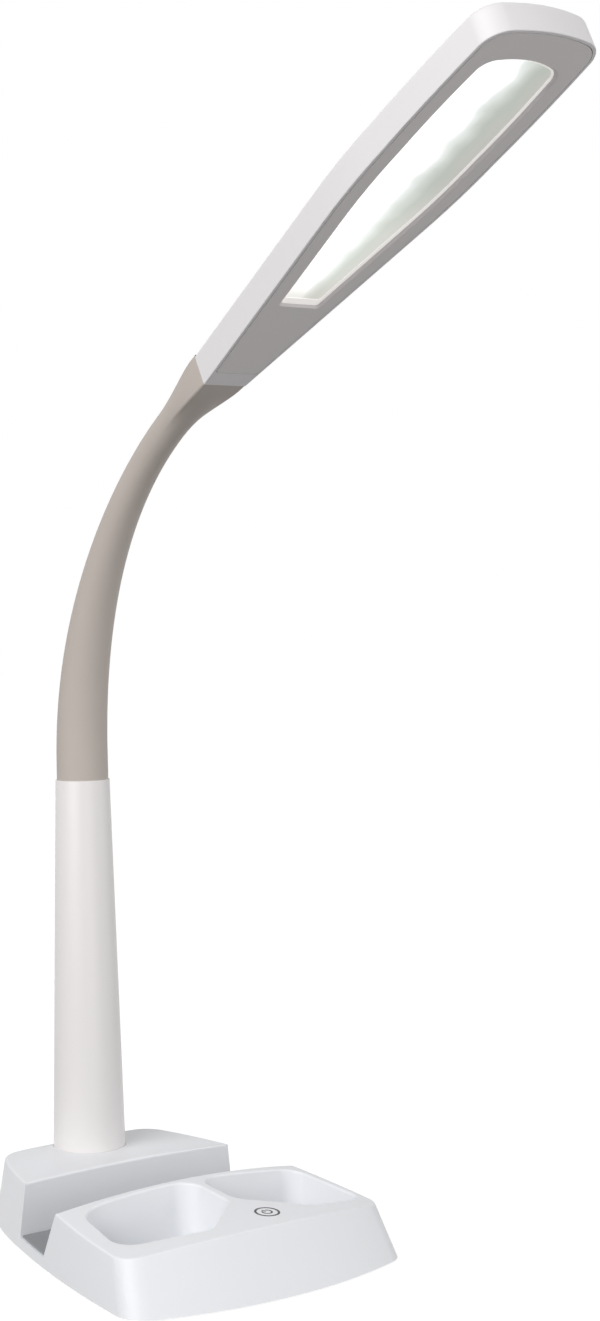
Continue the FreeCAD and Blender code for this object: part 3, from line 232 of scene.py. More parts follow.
link(grain_in.outputs["Grain Size mm"], inverse.inputs[1])
link(inverse.outputs[0], noise.inputs["Scale"])
link(grain_in.outputs["Vector"], noise.inputs["Vector"])
link(grain_in.outputs["Vector"], drift_noise.inputs["Vector"])
link(grain_in.outputs["Depth mm"], depth.inputs[0])
link(depth.outputs[0], bump.inputs["Distance"])
link(noise.outputs["Fac"], bump.inputs["Height"])
link(bump.outputs["Normal"], grain_out.inputs["Normal"])
link(drift_noise.outputs["Fac"], centred.inputs[0])
link(centred.outputs[0], scaled.inputs[0])
link(grain_in.outputs["Drift"], scaled.inputs[1])
link(scaled.outputs[0], total.inputs[0])
link(grain_in.outputs["Roughness"], total.inputs[1])
link(total.outputs[0], grain_out.inputs["Roughness"])
print("group", GRAIN.name, "has", len(GRAIN.nodes), "nodes")

# %% Group: uneven colour
# Two soft noises, one as wide as a hand and one as wide as a fingertip, darken the colour a
# little, as handling and the flow of the plastic do.
TONE, tone_in, tone_out = new_group(
    "uneven_colour",
    [("Vector", "NodeSocketVector", None), ("Color", "NodeSocketColor", (0.8, 0.8, 0.8, 1)),
     ("Soil Color", "NodeSocketColor", (0.6, 0.58, 0.55, 1)),
     ("Amount", "NodeSocketFloat", 0.1)],
    [("Color", "NodeSocketColor")])
wide = add_node(TONE, "ShaderNodeTexNoise", (-640, 140), Scale=9.0, Detail=2.0)
fine = add_node(TONE, "ShaderNodeTexNoise", (-640, -140), Scale=70.0, Detail=4.0)
both = add_node(TONE, "ShaderNodeMath", (-420, 0), operation="MULTIPLY")
amount = add_node(TONE, "ShaderNodeMath", (-220, 0), operation="MULTIPLY", use_clamp=True)
mix = add_node(TONE, "ShaderNodeMix", (60, 60), data_type="RGBA")
link = TONE.links.new
link(tone_in.outputs["Vector"], wide.inputs["Vector"])
link(tone_in.outputs["Vector"], fine.inputs["Vector"])
link(wide.outputs["Fac"], both.inputs[0])
link(fine.outputs["Fac"], both.inputs[1])
link(both.outputs[0], amount.inputs[0])
link(tone_in.outputs["Amount"], amount.inputs[1])
link(amount.outputs[0], mix.inputs["Factor"])
link(tone_in.outputs["Color"], mix.inputs["A"])
link(tone_in.outputs["Soil Color"], mix.inputs["B"])
link(mix.outputs["Result"], tone_out.inputs["Color"])
print("group", TONE.name, "has", len(TONE.nodes), "nodes")

# %% Group: edges painted lighter
# The edges of a moulding are painted a little lighter. This is partly a painted highlight, where
# the edges catch light, and partly wear, where handling polishes the texture of the mould.
# Pointiness isn't kept by the export, so a bevelled normal is compared with the plain one: they
# differ only near an edge.
EDGES, edge_in, edge_out = new_group(
    "edge_mask",
    [("Radius mm", "NodeSocketFloat", 1.0), ("Gain", "NodeSocketFloat", 4.0)],
    [("Mask", "NodeSocketFloat")])
radius = add_node(EDGES, "ShaderNodeMath", (-700, 60), operation="MULTIPLY")
radius.inputs[1].default_value = MM
soft = add_node(EDGES, "ShaderNodeBevel", (-500, 60), samples=4)
plain = add_node(EDGES, "ShaderNodeNewGeometry", (-500, -160))
alike = add_node(EDGES, "ShaderNodeVectorMath", (-280, 0), operation="DOT_PRODUCT")
unlike = add_node(EDGES, "ShaderNodeMath", (-100, 0), operation="SUBTRACT")
unlike.inputs[0].default_value = 1.0
gain = add_node(EDGES, "ShaderNodeMath", (80, 0), operation="MULTIPLY", use_clamp=True)
link = EDGES.links.new
link(edge_in.outputs["Radius mm"], radius.inputs[0])
link(radius.outputs[0], soft.inputs["Radius"])
link(soft.outputs["Normal"], alike.inputs[0])
link(plain.outputs["Normal"], alike.inputs[1])
link(alike.outputs["Value"], unlike.inputs[1])
link(unlike.outputs[0], gain.inputs[0])
link(edge_in.outputs["Gain"], gain.inputs[1])
link(gain.outputs[0], edge_out.inputs["Mask"])
print("group", EDGES.name, "has", len(EDGES.nodes), "nodes")

# %% [markdown]
# ## Finishes
# Each finish is a Principled shader fed by the groups above. The white mouldings differ only
# in tint and texture: the base is a cool grey-white with a fine spark texture, and the stem
# and the head are a little warmer, with a finer grain. The sleeve is greige silicone, dull
# and slightly dusty. Values that are the same all over are set straight on the shader.


# %% A maker for finishes
def finish(name, color, soil, soil_amount=0.1, roughness=0.5, drift=0.06,
           grain_mm=0.5, grain_depth=0.01, edge_wear_and_highlight=0.0, **shader_values):
    """A material with uneven colour, fine grain and edges painted lighter, as wear and painted
    highlight.
    """
    material = bpy.data.materials.new(name)
    material.use_nodes = True
    tree = material.node_tree
    shader = tree.nodes["Principled BSDF"]
    for key, setting in shader_values.items():
        shader.inputs[key.replace("_", " ")].default_value = setting
    place = add_node(tree, "ShaderNodeTexCoord", (-1100, 0))
    tone = add_node(tree, "ShaderNodeGroup", (-800, 120), node_tree=TONE)
    tone.inputs["Color"].default_value = (*color, 1.0)
    tone.inputs["Soil Color"].default_value = (*soil, 1.0)
    tone.inputs["Amount"].default_value = soil_amount
    grain = add_node(tree, "ShaderNodeGroup", (-800, -180), node_tree=GRAIN)
    grain.inputs["Grain Size mm"].default_value = grain_mm
    grain.inputs["Depth mm"].default_value = grain_depth
    grain.inputs["Roughness"].default_value = roughness
    grain.inputs["Drift"].default_value = drift
    tree.links.new(place.outputs["Object"], tone.inputs["Vector"])
    tree.links.new(place.outputs["Object"], grain.inputs["Vector"])
    tree.links.new(grain.outputs["Normal"], shader.inputs["Normal"])
    tree.links.new(grain.outputs["Roughness"], shader.inputs["Roughness"])
    out = tone.outputs["Color"]
    # The edges are painted lighter: a painted highlight, with some wear from handling.
    if edge_wear_and_highlight:
        edges = add_node(tree, "ShaderNodeGroup", (-800, 360), node_tree=EDGES)
        lighter = add_node(tree, "ShaderNodeMix", (-420, 220), data_type="RGBA")
        lighter.inputs["B"].default_value = (*(min(1.0, c + edge_wear_and_highlight) for c in color), 1.0)
        tree.links.new(edges.outputs["Mask"], lighter.inputs["Factor"])
        tree.links.new(out, lighter.inputs["A"])
        out = lighter.outputs["Result"]
    tree.links.new(out, shader.inputs["Base Color"])
    return material


# %% Finishes of the parts that show
BASE_WHITE = finish("base_white", (0.79, 0.80, 0.825), soil=(0.70, 0.71, 0.73),
                    roughness=0.42, drift=0.05, grain_mm=0.45, grain_depth=0.006,
                    edge_wear_and_highlight=0.05)
STEM_WHITE = finish("stem_white", (0.765, 0.74, 0.735), soil=(0.66, 0.64, 0.63),
                    roughness=0.38, drift=0.05, grain_mm=0.35, grain_depth=0.004,
                    edge_wear_and_highlight=0.03)
HEAD_WHITE = finish("head_white", (0.745, 0.73, 0.735), soil=(0.68, 0.66, 0.66),
                    soil_amount=0.08, roughness=0.52, drift=0.05, grain_mm=0.40,
                    grain_depth=0.005, edge_wear_and_highlight=0.04)
# The panel's white is darker than the head's: painted shade on the underside of the head.
PANEL_PAINTED_SHADE = finish("panel_white_painted_shade", (0.70, 0.67, 0.665), soil=(0.63, 0.60, 0.59),
                     soil_amount=0.08, roughness=0.45, drift=0.05, grain_mm=0.40,
                     grain_depth=0.006, edge_wear_and_highlight=0.04)
SLEEVE = finish("sleeve_silicone", (0.485, 0.435, 0.395), soil=(0.38, 0.345, 0.32),
                soil_amount=0.25, roughness=0.62, drift=0.08, grain_mm=0.6,
                grain_depth=0.010, Sheen_Weight=0.10)
PAD_RUBBER = finish("pad_rubber", (0.27, 0.28, 0.29), soil=(0.20, 0.20, 0.21),
                    soil_amount=0.25, roughness=0.70, drift=0.08, grain_mm=0.8,
                    grain_depth=0.02)
# The rim's emission is a painted glow, for the light that its bevel catches from the sheet.
RIM_PAINTED_GLOW = finish("rim_acrylic_painted_glow", (0.80, 0.79, 0.78), soil=(0.74, 0.73, 0.71),
                     roughness=0.25, drift=0.04, grain_mm=0.4, grain_depth=0.004,
                     Emission_Color=(1.0, 0.96, 0.93, 1.0), Emission_Strength=0.38)
MARK_INK = finish("mark_ink", (0.014, 0.014, 0.017), soil=(0.03, 0.03, 0.033),
                  soil_amount=0.2, roughness=0.45, drift=0.05, grain_mm=0.4,
                  grain_depth=0.004)
print("the base is finished in", BASE_WHITE.name, "and the sleeve in", SLEEVE.name)

# %% Finishes of the parts below and inside
DARK_RUBBER = finish("foot_rubber", (0.06, 0.06, 0.065), soil=(0.12, 0.12, 0.12),
                     soil_amount=0.3, roughness=0.75, drift=0.08, grain_mm=0.8,
                     grain_depth=0.02)
DARK_PLASTIC = finish("inlet_plastic", (0.03, 0.03, 0.033), soil=(0.08, 0.08, 0.08),
                      soil_amount=0.2, roughness=0.40, grain_depth=0.008)
COVER_GREY = finish("cover_plastic", (0.70, 0.71, 0.72), soil=(0.60, 0.60, 0.61),
                    soil_amount=0.15, grain_mm=0.7, grain_depth=0.012)
STEEL = finish("plated_steel", (0.60, 0.60, 0.61), soil=(0.42, 0.41, 0.40),
               soil_amount=0.3, roughness=0.30, drift=0.10, grain_mm=0.3,
               grain_depth=0.004, Metallic=1.0)
CAST_METAL = finish("cast_aluminium", (0.66, 0.66, 0.67), soil=(0.5, 0.5, 0.5),
                    soil_amount=0.3, roughness=0.42, drift=0.10, grain_mm=0.6,
                    grain_depth=0.02, Metallic=1.0)
BRASS = finish("electrode_brass", (0.72, 0.55, 0.28), soil=(0.5, 0.36, 0.2),
               soil_amount=0.3, roughness=0.32, drift=0.10, grain_mm=0.4,
               grain_depth=0.006, Metallic=1.0)
BOARD_GREEN = finish("board_green", (0.05, 0.20, 0.10), soil=(0.03, 0.12, 0.06),
                     soil_amount=0.3, roughness=0.35, grain_mm=0.8)
BOARD_WHITE = finish("board_white", (0.82, 0.82, 0.80), soil=(0.7, 0.7, 0.68),
                     soil_amount=0.15, roughness=0.40, grain_mm=0.8)
LED_YELLOW = finish("led_phosphor", (0.86, 0.72, 0.22), soil=(0.7, 0.55, 0.15),
                    soil_amount=0.2, roughness=0.30, drift=0.05, grain_mm=0.4)
print(len(bpy.data.materials), "materials so far")

# %% [markdown]
# ## Parts that keep their engineering shape
# Screws, boards, ballast and the steel core are simple machined or stamped shapes, and the
# engineering model already has them right. They keep their meshes and only take a finish.

# %% Finish the plain parts
PLAIN_PARTS = {
    "base_plate": COVER_GREY, "rubber_feet": DARK_RUBBER, "base_screws": STEEL,
    "ballast_plate": CAST_METAL, "control_board": BOARD_GREEN, "touch_board": BOARD_GREEN,
    "touch_electrode": BRASS, "board_screws": STEEL, "dc_inlet": DARK_PLASTIC,
    "inlet_nut": DARK_PLASTIC, "stem_nipple": STEEL, "stem_washer": STEEL, "stem_nut": STEEL,
    "neck_socket": DARK_PLASTIC, "neck_core_root": STEEL, "neck_core_tip": STEEL,
    "head_bracket": CAST_METAL, "bracket_screws": STEEL, "led_board": BOARD_WHITE,
    "leds": LED_YELLOW, "slot_pad": PAD_RUBBER,
}
PLAIN_PARTS.update({f"neck_core_{number}": STEEL for number in range(1, LINKS + 1)})


def set_finish(piece, material):
    """Give a piece one material, in every slot it has."""
    if not piece.material_slots:
        piece.data.materials.append(material)
    for material_slot in piece.material_slots:
        material_slot.material = material


for node_name, material in PLAIN_PARTS.items():
    set_finish(frame["nodes"][node_name], material)
print(len(PLAIN_PARTS), "parts keep their shape")

# %% [markdown]
# ## Mouldings
# The base housing, the head and its panel come from the engineering model too, but light
# shows every facet on a smooth moulding. A copy of each has its loose triangles joined, and
# those of one flat are merged into one face. A weighted normal modifier, which gives large
# faces more say, then shades the flats flat and the rounded edges round.


# %% Copy and smooth the mouldings
JOINED = 2e-6
SAME_FLAT = math.radians(0.1)
SOFT_EDGE = math.radians(32)


def smooth_copy(node_name, body, material, name=None):
    """A joined and smoothly shaded copy that stands for an engineering part."""
    mesh = frame["nodes"][node_name].data.copy()
    mesh.materials.clear()
    piece = bpy.data.objects.new(name or f"{node_name}_moulding", mesh)
    bpy.context.scene.collection.objects.link(piece)
    activate(piece)
    bpy.ops.object.mode_set(mode="EDIT")
    bpy.ops.mesh.select_all(action="SELECT")
    bpy.ops.mesh.remove_doubles(threshold=JOINED)
    bpy.ops.mesh.dissolve_limited(angle_limit=SAME_FLAT)
    bpy.ops.object.mode_set(mode="OBJECT")
    bpy.ops.object.shade_smooth_by_angle(angle=SOFT_EDGE)
    weighted = piece.modifiers.new("even_shading", "WEIGHTED_NORMAL")
    weighted.keep_sharp = True
    weighted.weight = 90
    apply_modifiers(piece)
    set_finish(piece, material)
    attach(piece, body)
    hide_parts(node_name)
    print(piece.name, len(mesh.polygons), "faces")
    return piece


housing = smooth_copy("base_shell", "base", BASE_WHITE)
smooth_copy("head_shell", "head", HEAD_WHITE)
smooth_copy("head_panel", "head", PANEL_PAINTED_SHADE)

# %% [markdown]
# ## The line of the neck
# The stem leans back by a degree and a half. The neck goes on from its top: a short straight,
# one even bend, and a straight end that carries the head. Everything on the neck is placed
# by its distance along this line.

# %% Measure along the neck
STEM_FOOT = Vector((0.0, 0.0834, 0.0345))
STEM_LEAN = math.radians(1.5)
STEM_LENGTH = 0.199
STRAIGHT = 0.0132
BEND_RADIUS = 0.205
BEND = math.radians(62.3)
END_STRAIGHT = 0.029
BEND_END = STRAIGHT + BEND_RADIUS * BEND
NECK_END = BEND_END + END_STRAIGHT
print("the neck is", round(NECK_END / MM, 1), "mm long")


def turn_at(distance):
    """How far the line has turned from upright towards the user, in radians."""
    along = min(max(distance - STRAIGHT, 0.0), BEND_RADIUS * BEND)
    return along / BEND_RADIUS - STEM_LEAN


def direction(turn):
    """The way the line runs where it has turned so far from upright."""
    return Vector((0.0, -math.sin(turn), math.cos(turn)))


def point_at(distance):
    """The point at a distance along the neck from the top of the stem."""
    point = STEM_FOOT + direction(-STEM_LEAN) * (STEM_LENGTH + min(distance, STRAIGHT))
    if distance > STRAIGHT:
        start, end = -STEM_LEAN, turn_at(distance)
        point += BEND_RADIUS * Vector(
            (0.0, math.cos(end) - math.cos(start), math.sin(end) - math.sin(start)))
    if distance > BEND_END:
        point += direction(BEND - STEM_LEAN) * (distance - BEND_END)
    return point


# %% Check the line against the hinges
FIRST_HINGE, HINGE_PITCH = 4.4, 7.6  # degrees round the bend
HINGES = [Vector(joint["pos_m"]) for joint in frame["joints"]]
HINGE_AT = [STRAIGHT + BEND_RADIUS * math.radians(FIRST_HINGE + HINGE_PITCH * number)
            for number in range(len(HINGES))]
error = max((point_at(at) - hinge).length for at, hinge in zip(HINGE_AT, HINGES))
print("the line misses the hinges by", round(error / MM, 4), "mm at most")

# %% [markdown]
# ## Stem
# The stem is a plastic cone, 199 mm tall, with a crisp rim where the sleeve starts. A cone
# primitive gives its size. Insetting its top and sinking the middle makes the seat of the
# neck, and a small bevel keeps the rim from looking cut from paper.

# %% Model the stem
FOOT_RADIUS, TOP_RADIUS = 0.01939, 0.0145
SEAT_RIM, SEAT_DEPTH, RIM_BEVEL = 0.0008, 0.0006, 0.0003
stem_axis = direction(-STEM_LEAN)
deselect_all()
bpy.ops.mesh.primitive_cone_add(vertices=128, radius1=FOOT_RADIUS, radius2=TOP_RADIUS,
                                depth=STEM_LENGTH, rotation=(-STEM_LEAN, 0.0, 0.0),
                                location=STEM_FOOT + stem_axis * STEM_LENGTH / 2)
stem = bpy.context.object
above_seat = STEM_LENGTH / 2 - SEAT_DEPTH / 2
edit(stem)
choose(stem, "faces", lambda face: face.calc_center_median().z > above_seat)
bpy.ops.mesh.inset(thickness=SEAT_RIM)
bpy.ops.mesh.extrude_region_move(
    TRANSFORM_OT_translate={"value": tuple(stem_axis * -SEAT_DEPTH)})
bpy.ops.mesh.select_all(action="DESELECT")
bpy.ops.mesh.select_mode(type="EDGE")
choose(stem, "edges", lambda edge: all(v.co.z > above_seat for v in edge.verts))
bpy.ops.mesh.bevel(offset=RIM_BEVEL, segments=3)
finish_mesh(stem, "stem_cone")
set_finish(stem, STEM_WHITE)
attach(stem, "base")
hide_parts("stem_tube")

# %% [markdown]
# ## Sleeve
# The real sleeve is one silicone tube that bends anywhere along its length. Here it is seven
# pieces end to end: six round tubes and a flared end. A tube starts as a ring, and rings are
# extruded along the neck's line, so that they turn and thin with it. Each piece spans one
# hinge, and its ends lie midway between hinges.


# %% A ring that travels along the neck
NO_TURN = 1e-9


def start_ring(distance, radius):
    """A circle square to the neck's line."""
    deselect_all()
    bpy.ops.mesh.primitive_circle_add(vertices=64, radius=radius,
                                      location=point_at(distance),
                                      rotation=(turn_at(distance), 0.0, 0.0))
    piece = bpy.context.object
    bpy.ops.object.transform_apply(location=True, rotation=True, scale=True)
    bpy.ops.object.mode_set(mode="EDIT")
    bpy.ops.mesh.select_mode(type="EDGE")
    bpy.ops.mesh.select_all(action="SELECT")
    return piece


def next_ring(start, end, scale=1.0):
    """Extrude the selected ring from one distance along the neck to another."""
    here, there = point_at(start), point_at(end)
    bpy.ops.mesh.extrude_edges_move(TRANSFORM_OT_translate={"value": tuple(there - here)})
    turn = turn_at(end) - turn_at(start)
    if abs(turn) > NO_TURN:
        bpy.ops.transform.rotate(value=-turn, orient_axis="X", center_override=there)
    bpy.ops.transform.resize(value=(scale, scale, scale), center_override=there)


def steps_between(start, end, step):
    """Evenly spaced distances from start to end, about a step apart."""
    count = max(1, round(abs((end - start) / step)))
    return [start + (end - start) * index / count for index in range(count + 1)]


# %% Sizes of the sleeve
WALL = 0.0025
SLEEVE_FOOT, SLEEVE_THIN = 0.0138, 0.0082  # radius at the foot and where it is thinnest
THINNING = 0.2  # the length over which it thins
CUTS = [0.0] + [(low + high) / 2 for low, high in zip(HINGE_AT, HINGE_AT[1:])]
print("the sleeve is cut at", [round(cut / MM, 1) for cut in CUTS], "mm")


def sleeve_radius(distance):
    """The sleeve thins in a soft S from its foot on."""
    share = min(distance / THINNING, 1.0)
    return SLEEVE_FOOT - (SLEEVE_FOOT - SLEEVE_THIN) * (1 - math.cos(math.pi * share)) / 2


# %% Model the round stretches of the sleeve
RING_STEP = 0.0025
BEND_REACH = 0.010


def bend_over_hinge(piece, number):
    """Bake the piece's place into its mesh; the points a reach each side of its hinge are found
    but not used.
    """
    tuple(point_at(HINGE_AT[number] - BEND_REACH))
    tuple(point_at(HINGE_AT[number] + BEND_REACH))
    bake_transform(piece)


for number in range(LINKS):
    stops = steps_between(CUTS[number], CUTS[number + 1], RING_STEP)
    piece = start_ring(stops[0], sleeve_radius(stops[0]))
    for start, end in zip(stops, stops[1:]):
        next_ring(start, end, sleeve_radius(end) / sleeve_radius(start))
    give_wall(piece, WALL)
    finish_mesh(piece, f"sleeve_{number + 1}", smooth_angle=60.0)
    set_finish(piece, SLEEVE)
    if number == 0:
        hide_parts("neck_sleeve_root", "neck_sleeve_1")
    else:
        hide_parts(f"neck_sleeve_{number + 1}")
    bend_over_hinge(piece, number)

# %% [markdown]
# ## Flared end of the sleeve
# At the head the sleeve turns from round to a flat section with four soft edges, so that it
# runs on into the head's faces. It starts at the head as a rounded rectangle. Each ring that
# is extruded towards the neck is drawn a little nearer to a circle by the to-sphere tool and
# set to its width and height, so the four edges fade out by themselves.

# %% Sections of the flared end
FLARE_START = BEND_END - 0.0230
END_HALF_WIDTH, END_HALF_HEIGHT = 0.0124, 0.0085
CORNER = 0.0012


def flare_section(distance):
    """Half width, half height and share of a circle: one soft S from round to flat."""
    share = min(max((distance - FLARE_START) / (NECK_END - FLARE_START), 0.0), 1.0)
    flat = share * share * (3 - 2 * share)
    radius = sleeve_radius(distance)
    return (radius + (END_HALF_WIDTH - radius) * flat,
            radius + (END_HALF_HEIGHT - radius) * flat, 1.0 - flat)


print("the flare is", round((NECK_END - FLARE_START) / MM, 1), "mm long")

# %% Start with a rounded rectangle at the head
deselect_all()
bpy.ops.mesh.primitive_plane_add(size=1.0)
flare = bpy.context.object
bpy.ops.transform.resize(value=(2 * END_HALF_WIDTH, 2 * END_HALF_HEIGHT, 1.0))
bpy.ops.object.transform_apply(location=True, rotation=True, scale=True)
bpy.ops.object.mode_set(mode="EDIT")
bpy.ops.mesh.select_all(action="SELECT")
bpy.ops.mesh.bevel(offset=CORNER, segments=6, affect="VERTICES")
bpy.ops.mesh.delete(type="ONLY_FACE")
edit(flare, "EDGE")
choose(flare, "edges", lambda edge: edge.calc_length() > END_HALF_HEIGHT)
bpy.ops.mesh.subdivide(number_cuts=9)
bpy.ops.object.mode_set(mode="OBJECT")
flare.location = point_at(NECK_END)
flare.rotation_euler = (turn_at(NECK_END), 0.0, 0.0)
bpy.ops.object.transform_apply(location=True, rotation=True, scale=True)
print("the head's end of the sleeve has", len(flare.data.vertices), "points")


# %% Draw the flared end towards the neck
STRAIGHT_STEP, BEND_STEP = 0.005, 0.0022
NEARLY_ROUND = 0.9999  # so that the share of the way that is left is never nothing


def selected_size(piece):
    """Half width and half height of the ring that is selected, across the neck's line."""
    mesh = bmesh.from_edit_mesh(piece.data)
    ring = [v.co.copy() for v in mesh.verts if v.select]
    middle = sum(ring, Vector()) / len(ring)
    half_width = max(abs(v.x - middle.x) for v in ring)
    half_height = max(math.hypot(v.y - middle.y, v.z - middle.z) for v in ring)
    return half_width, half_height


stops = (steps_between(NECK_END, BEND_END, STRAIGHT_STEP)
         + steps_between(BEND_END, CUTS[-1], BEND_STEP)[1:])
bpy.ops.object.mode_set(mode="EDIT")
bpy.ops.mesh.select_all(action="SELECT")
roundness = 0.0
for start, end in zip(stops, stops[1:]):
    next_ring(start, end)
    half_width, half_height, wanted = flare_section(end)
    if wanted > roundness:
        bpy.ops.transform.tosphere(value=min(1.0, (wanted - roundness) / (1 - roundness)))
        roundness = wanted if wanted < 1.0 else NEARLY_ROUND
    now_width, now_height = selected_size(flare)
    tall = half_height / now_height
    bpy.ops.transform.resize(value=(half_width / now_width, tall, tall),
                             center_override=point_at(end))
give_wall(flare, WALL)
finish_mesh(flare, "sleeve_flare", smooth_angle=40.0)
set_finish(flare, SLEEVE)
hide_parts("neck_flare")
bend_over_hinge(flare, LINKS)

# %% [markdown]
# ## Lit window
# Behind the window lies an opal sheet, lit from above by two rows of LEDs. It is white down one
# side and falls softly to a greenish grey on the other, where less light reaches the sheet.
# Near the neck the difference is smaller, because light spills back from the end wall. The
# glow is emission: one ramp runs across the sheet's width, and two more run along it.

# %% The head's own frame
HEAD_TURN = BEND - STEM_LEAN - math.pi / 2
HEAD_FRAME = Matrix.Translation(point_at(NECK_END)) @ Matrix.Rotation(HEAD_TURN, 4, "X")
print("the head points", round(-math.degrees(HEAD_TURN), 1), "degrees up")

# %% Start the opal sheet's material
OPAL = bpy.data.materials.new("opal_glow")
OPAL.use_nodes = True
tree = OPAL.node_tree
shader = tree.nodes["Principled BSDF"]
shader.inputs["Base Color"].default_value = (0.36, 0.37, 0.36, 1.0)
shader.inputs["Roughness"].default_value = 0.28
shader.inputs["Emission Strength"].default_value = 1.0
print("material", OPAL.name)

# %% Find the place on the sheet
# The sheet widens from the neck on. The place across it, divided by its half width there, is
# -1 at one edge and 1 at the other, and a slow noise lets the glow's edge waver.
SHEET_NEAR, SHEET_WIDE = 0.070, 0.165  # distances from the neck's end
HALF_WIDTH_NEAR, HALF_WIDTH_WIDE = 0.0085, 0.0210
WAVER = 0.50
place = add_node(tree, "ShaderNodeTexCoord", (-1500, 0))
lay_flat = add_node(tree, "ShaderNodeMapping", (-1300, 0), vector_type="TEXTURE",
                    Location=point_at(NECK_END), Rotation=(HEAD_TURN, 0.0, 0.0))
split = add_node(tree, "ShaderNodeSeparateXYZ", (-1100, 0))
reach = add_node(tree, "ShaderNodeMath", (-920, -60), operation="MULTIPLY")
reach.inputs[1].default_value = -1.0
half = add_node(tree, "ShaderNodeMapRange", (-740, -60), clamp=True)
half.inputs["From Min"].default_value = SHEET_NEAR
half.inputs["From Max"].default_value = SHEET_WIDE
half.inputs["To Min"].default_value = HALF_WIDTH_NEAR
half.inputs["To Max"].default_value = HALF_WIDTH_WIDE
across = add_node(tree, "ShaderNodeMath", (-560, 100), operation="DIVIDE")
ripple = add_node(tree, "ShaderNodeTexNoise", (-1100, -320), Scale=62.0, Detail=1.5)
waver = add_node(tree, "ShaderNodeMath", (-920, -320), operation="MULTIPLY_ADD")
waver.inputs[1].default_value = WAVER
waver.inputs[2].default_value = -WAVER / 2
shift = add_node(tree, "ShaderNodeMath", (-380, 100), operation="ADD")
place_on_ramp = add_node(tree, "ShaderNodeMapRange", (-200, 100), clamp=True)
place_on_ramp.inputs["From Min"].default_value = -1.0
for start, end in ((place.outputs["Object"], lay_flat.inputs["Vector"]),
                   (lay_flat.outputs[0], split.inputs[0]),
                   (lay_flat.outputs[0], ripple.inputs["Vector"]),
                   (split.outputs["Y"], reach.inputs[0]),
                   (reach.outputs[0], half.inputs["Value"]),
                   (split.outputs["X"], across.inputs[0]),
                   (half.outputs["Result"], across.inputs[1]),
                   (ripple.outputs["Fac"], waver.inputs[0]),
                   (across.outputs[0], shift.inputs[0]),
                   (waver.outputs[0], shift.inputs[1]),
                   (shift.outputs[0], place_on_ramp.inputs["Value"])):
    tree.links.new(start, end)
print("the sheet's frame takes", len(tree.nodes), "nodes")


# %% Colour the glow
# One ramp runs across the sheet, from white to greenish grey. Along it, in metres from the
# neck's end, one ramp dims the neck end and one adds the light that spills back there.
def add_ramp(location, stops):
    """A colour ramp with the given (position, colour) stops, in order."""
    ramp = add_node(tree, "ShaderNodeValToRGB", location)
    elements = ramp.color_ramp.elements
    for element, (position, color) in zip(elements, (stops[0], stops[-1])):
        element.position, element.color = position, (*color, 1.0)
    for position, color in stops[1:-1]:
        elements.new(position).color = (*color, 1.0)
    return ramp


glow_ramp = add_ramp((0, 160), (
    (0.47, (1.0, 1.0, 1.0)), (0.54, (0.64, 0.67, 0.65)), (0.66, (0.42, 0.45, 0.415)),
    (0.79, (0.285, 0.32, 0.27)), (0.93, (0.315, 0.32, 0.285))))
near_end = add_ramp((-480, -300), ((0.0735, (0.30, 0.30, 0.29)), (0.090, (1.0, 1.0, 1.0))))
spill = add_ramp((-480, -600), (
    (0.0735, (0.32, 0.31, 0.28)), (0.090, (0.17, 0.17, 0.1615)),
    (0.125, (0.15, 0.15, 0.1425)), (0.165, (0.0, 0.0, 0.0))))
tinted = add_node(tree, "ShaderNodeMix", (300, 0), data_type="RGBA", blend_type="MULTIPLY")
tinted.inputs["Factor"].default_value = 1.0
lit = add_node(tree, "ShaderNodeMix", (500, 0), data_type="RGBA", blend_type="ADD")
lit.inputs["Factor"].default_value = 1.0
for start, end in ((place_on_ramp.outputs["Result"], glow_ramp.inputs["Fac"]),
                   (reach.outputs[0], near_end.inputs["Fac"]),
                   (reach.outputs[0], spill.inputs["Fac"]),
                   (glow_ramp.outputs["Color"], tinted.inputs["A"]),
                   (near_end.outputs["Color"], tinted.inputs["B"]),
                   (tinted.outputs["Result"], lit.inputs["A"]),
                   (spill.outputs["Color"], lit.inputs["B"]),
                   (lit.outputs["Result"], shader.inputs["Emission Color"])):
    tree.links.new(start, end)
smooth_copy("diffuser", "head", OPAL, "opal_sheet")

# %% [markdown]
# ## Rim of the window
# A clear bevelled rim holds the sheet's edge. Its thin bright line is a painted glow: a weak
# emission that stands in for the light the rim catches from the sheet.
# It follows the window exactly, so it starts from the window's own edge: the panel is laid
# flat, everything but that edge is deleted, and the edge is filled. An inset then makes the
# rim, and lifting its inner side makes the bevel. It is widest at the neck end.

# %% Take the window's edge from the panel
# In the head's frame the panel's inner face lies 6.5 mm below the neck's line, and -Y runs
# to the tip. A box round the window holds its inner edge and nothing else.
INNER_FACE = -0.0066
WINDOW_HALF, WINDOW_NEAR, WINDOW_FAR = 0.023, -0.0690, -0.2490
rim_mesh = frame["nodes"]["head_panel"].data.copy()
rim_mesh.transform(HEAD_FRAME.inverted())
window_rim = bpy.data.objects.new("window_rim", rim_mesh)
bpy.context.scene.collection.objects.link(window_rim)
edit(window_rim, "VERT")
bpy.ops.mesh.select_all(action="SELECT")
bpy.ops.mesh.remove_doubles(threshold=JOINED)
bpy.ops.mesh.select_all(action="DESELECT")
choose(window_rim, "verts",
       lambda v: not (v.co.z > INNER_FACE and abs(v.co.x) < WINDOW_HALF
                      and WINDOW_FAR < v.co.y < WINDOW_NEAR))
bpy.ops.mesh.delete(type="VERT")
print("the window's edge has", len(bmesh.from_edit_mesh(rim_mesh).verts), "points")

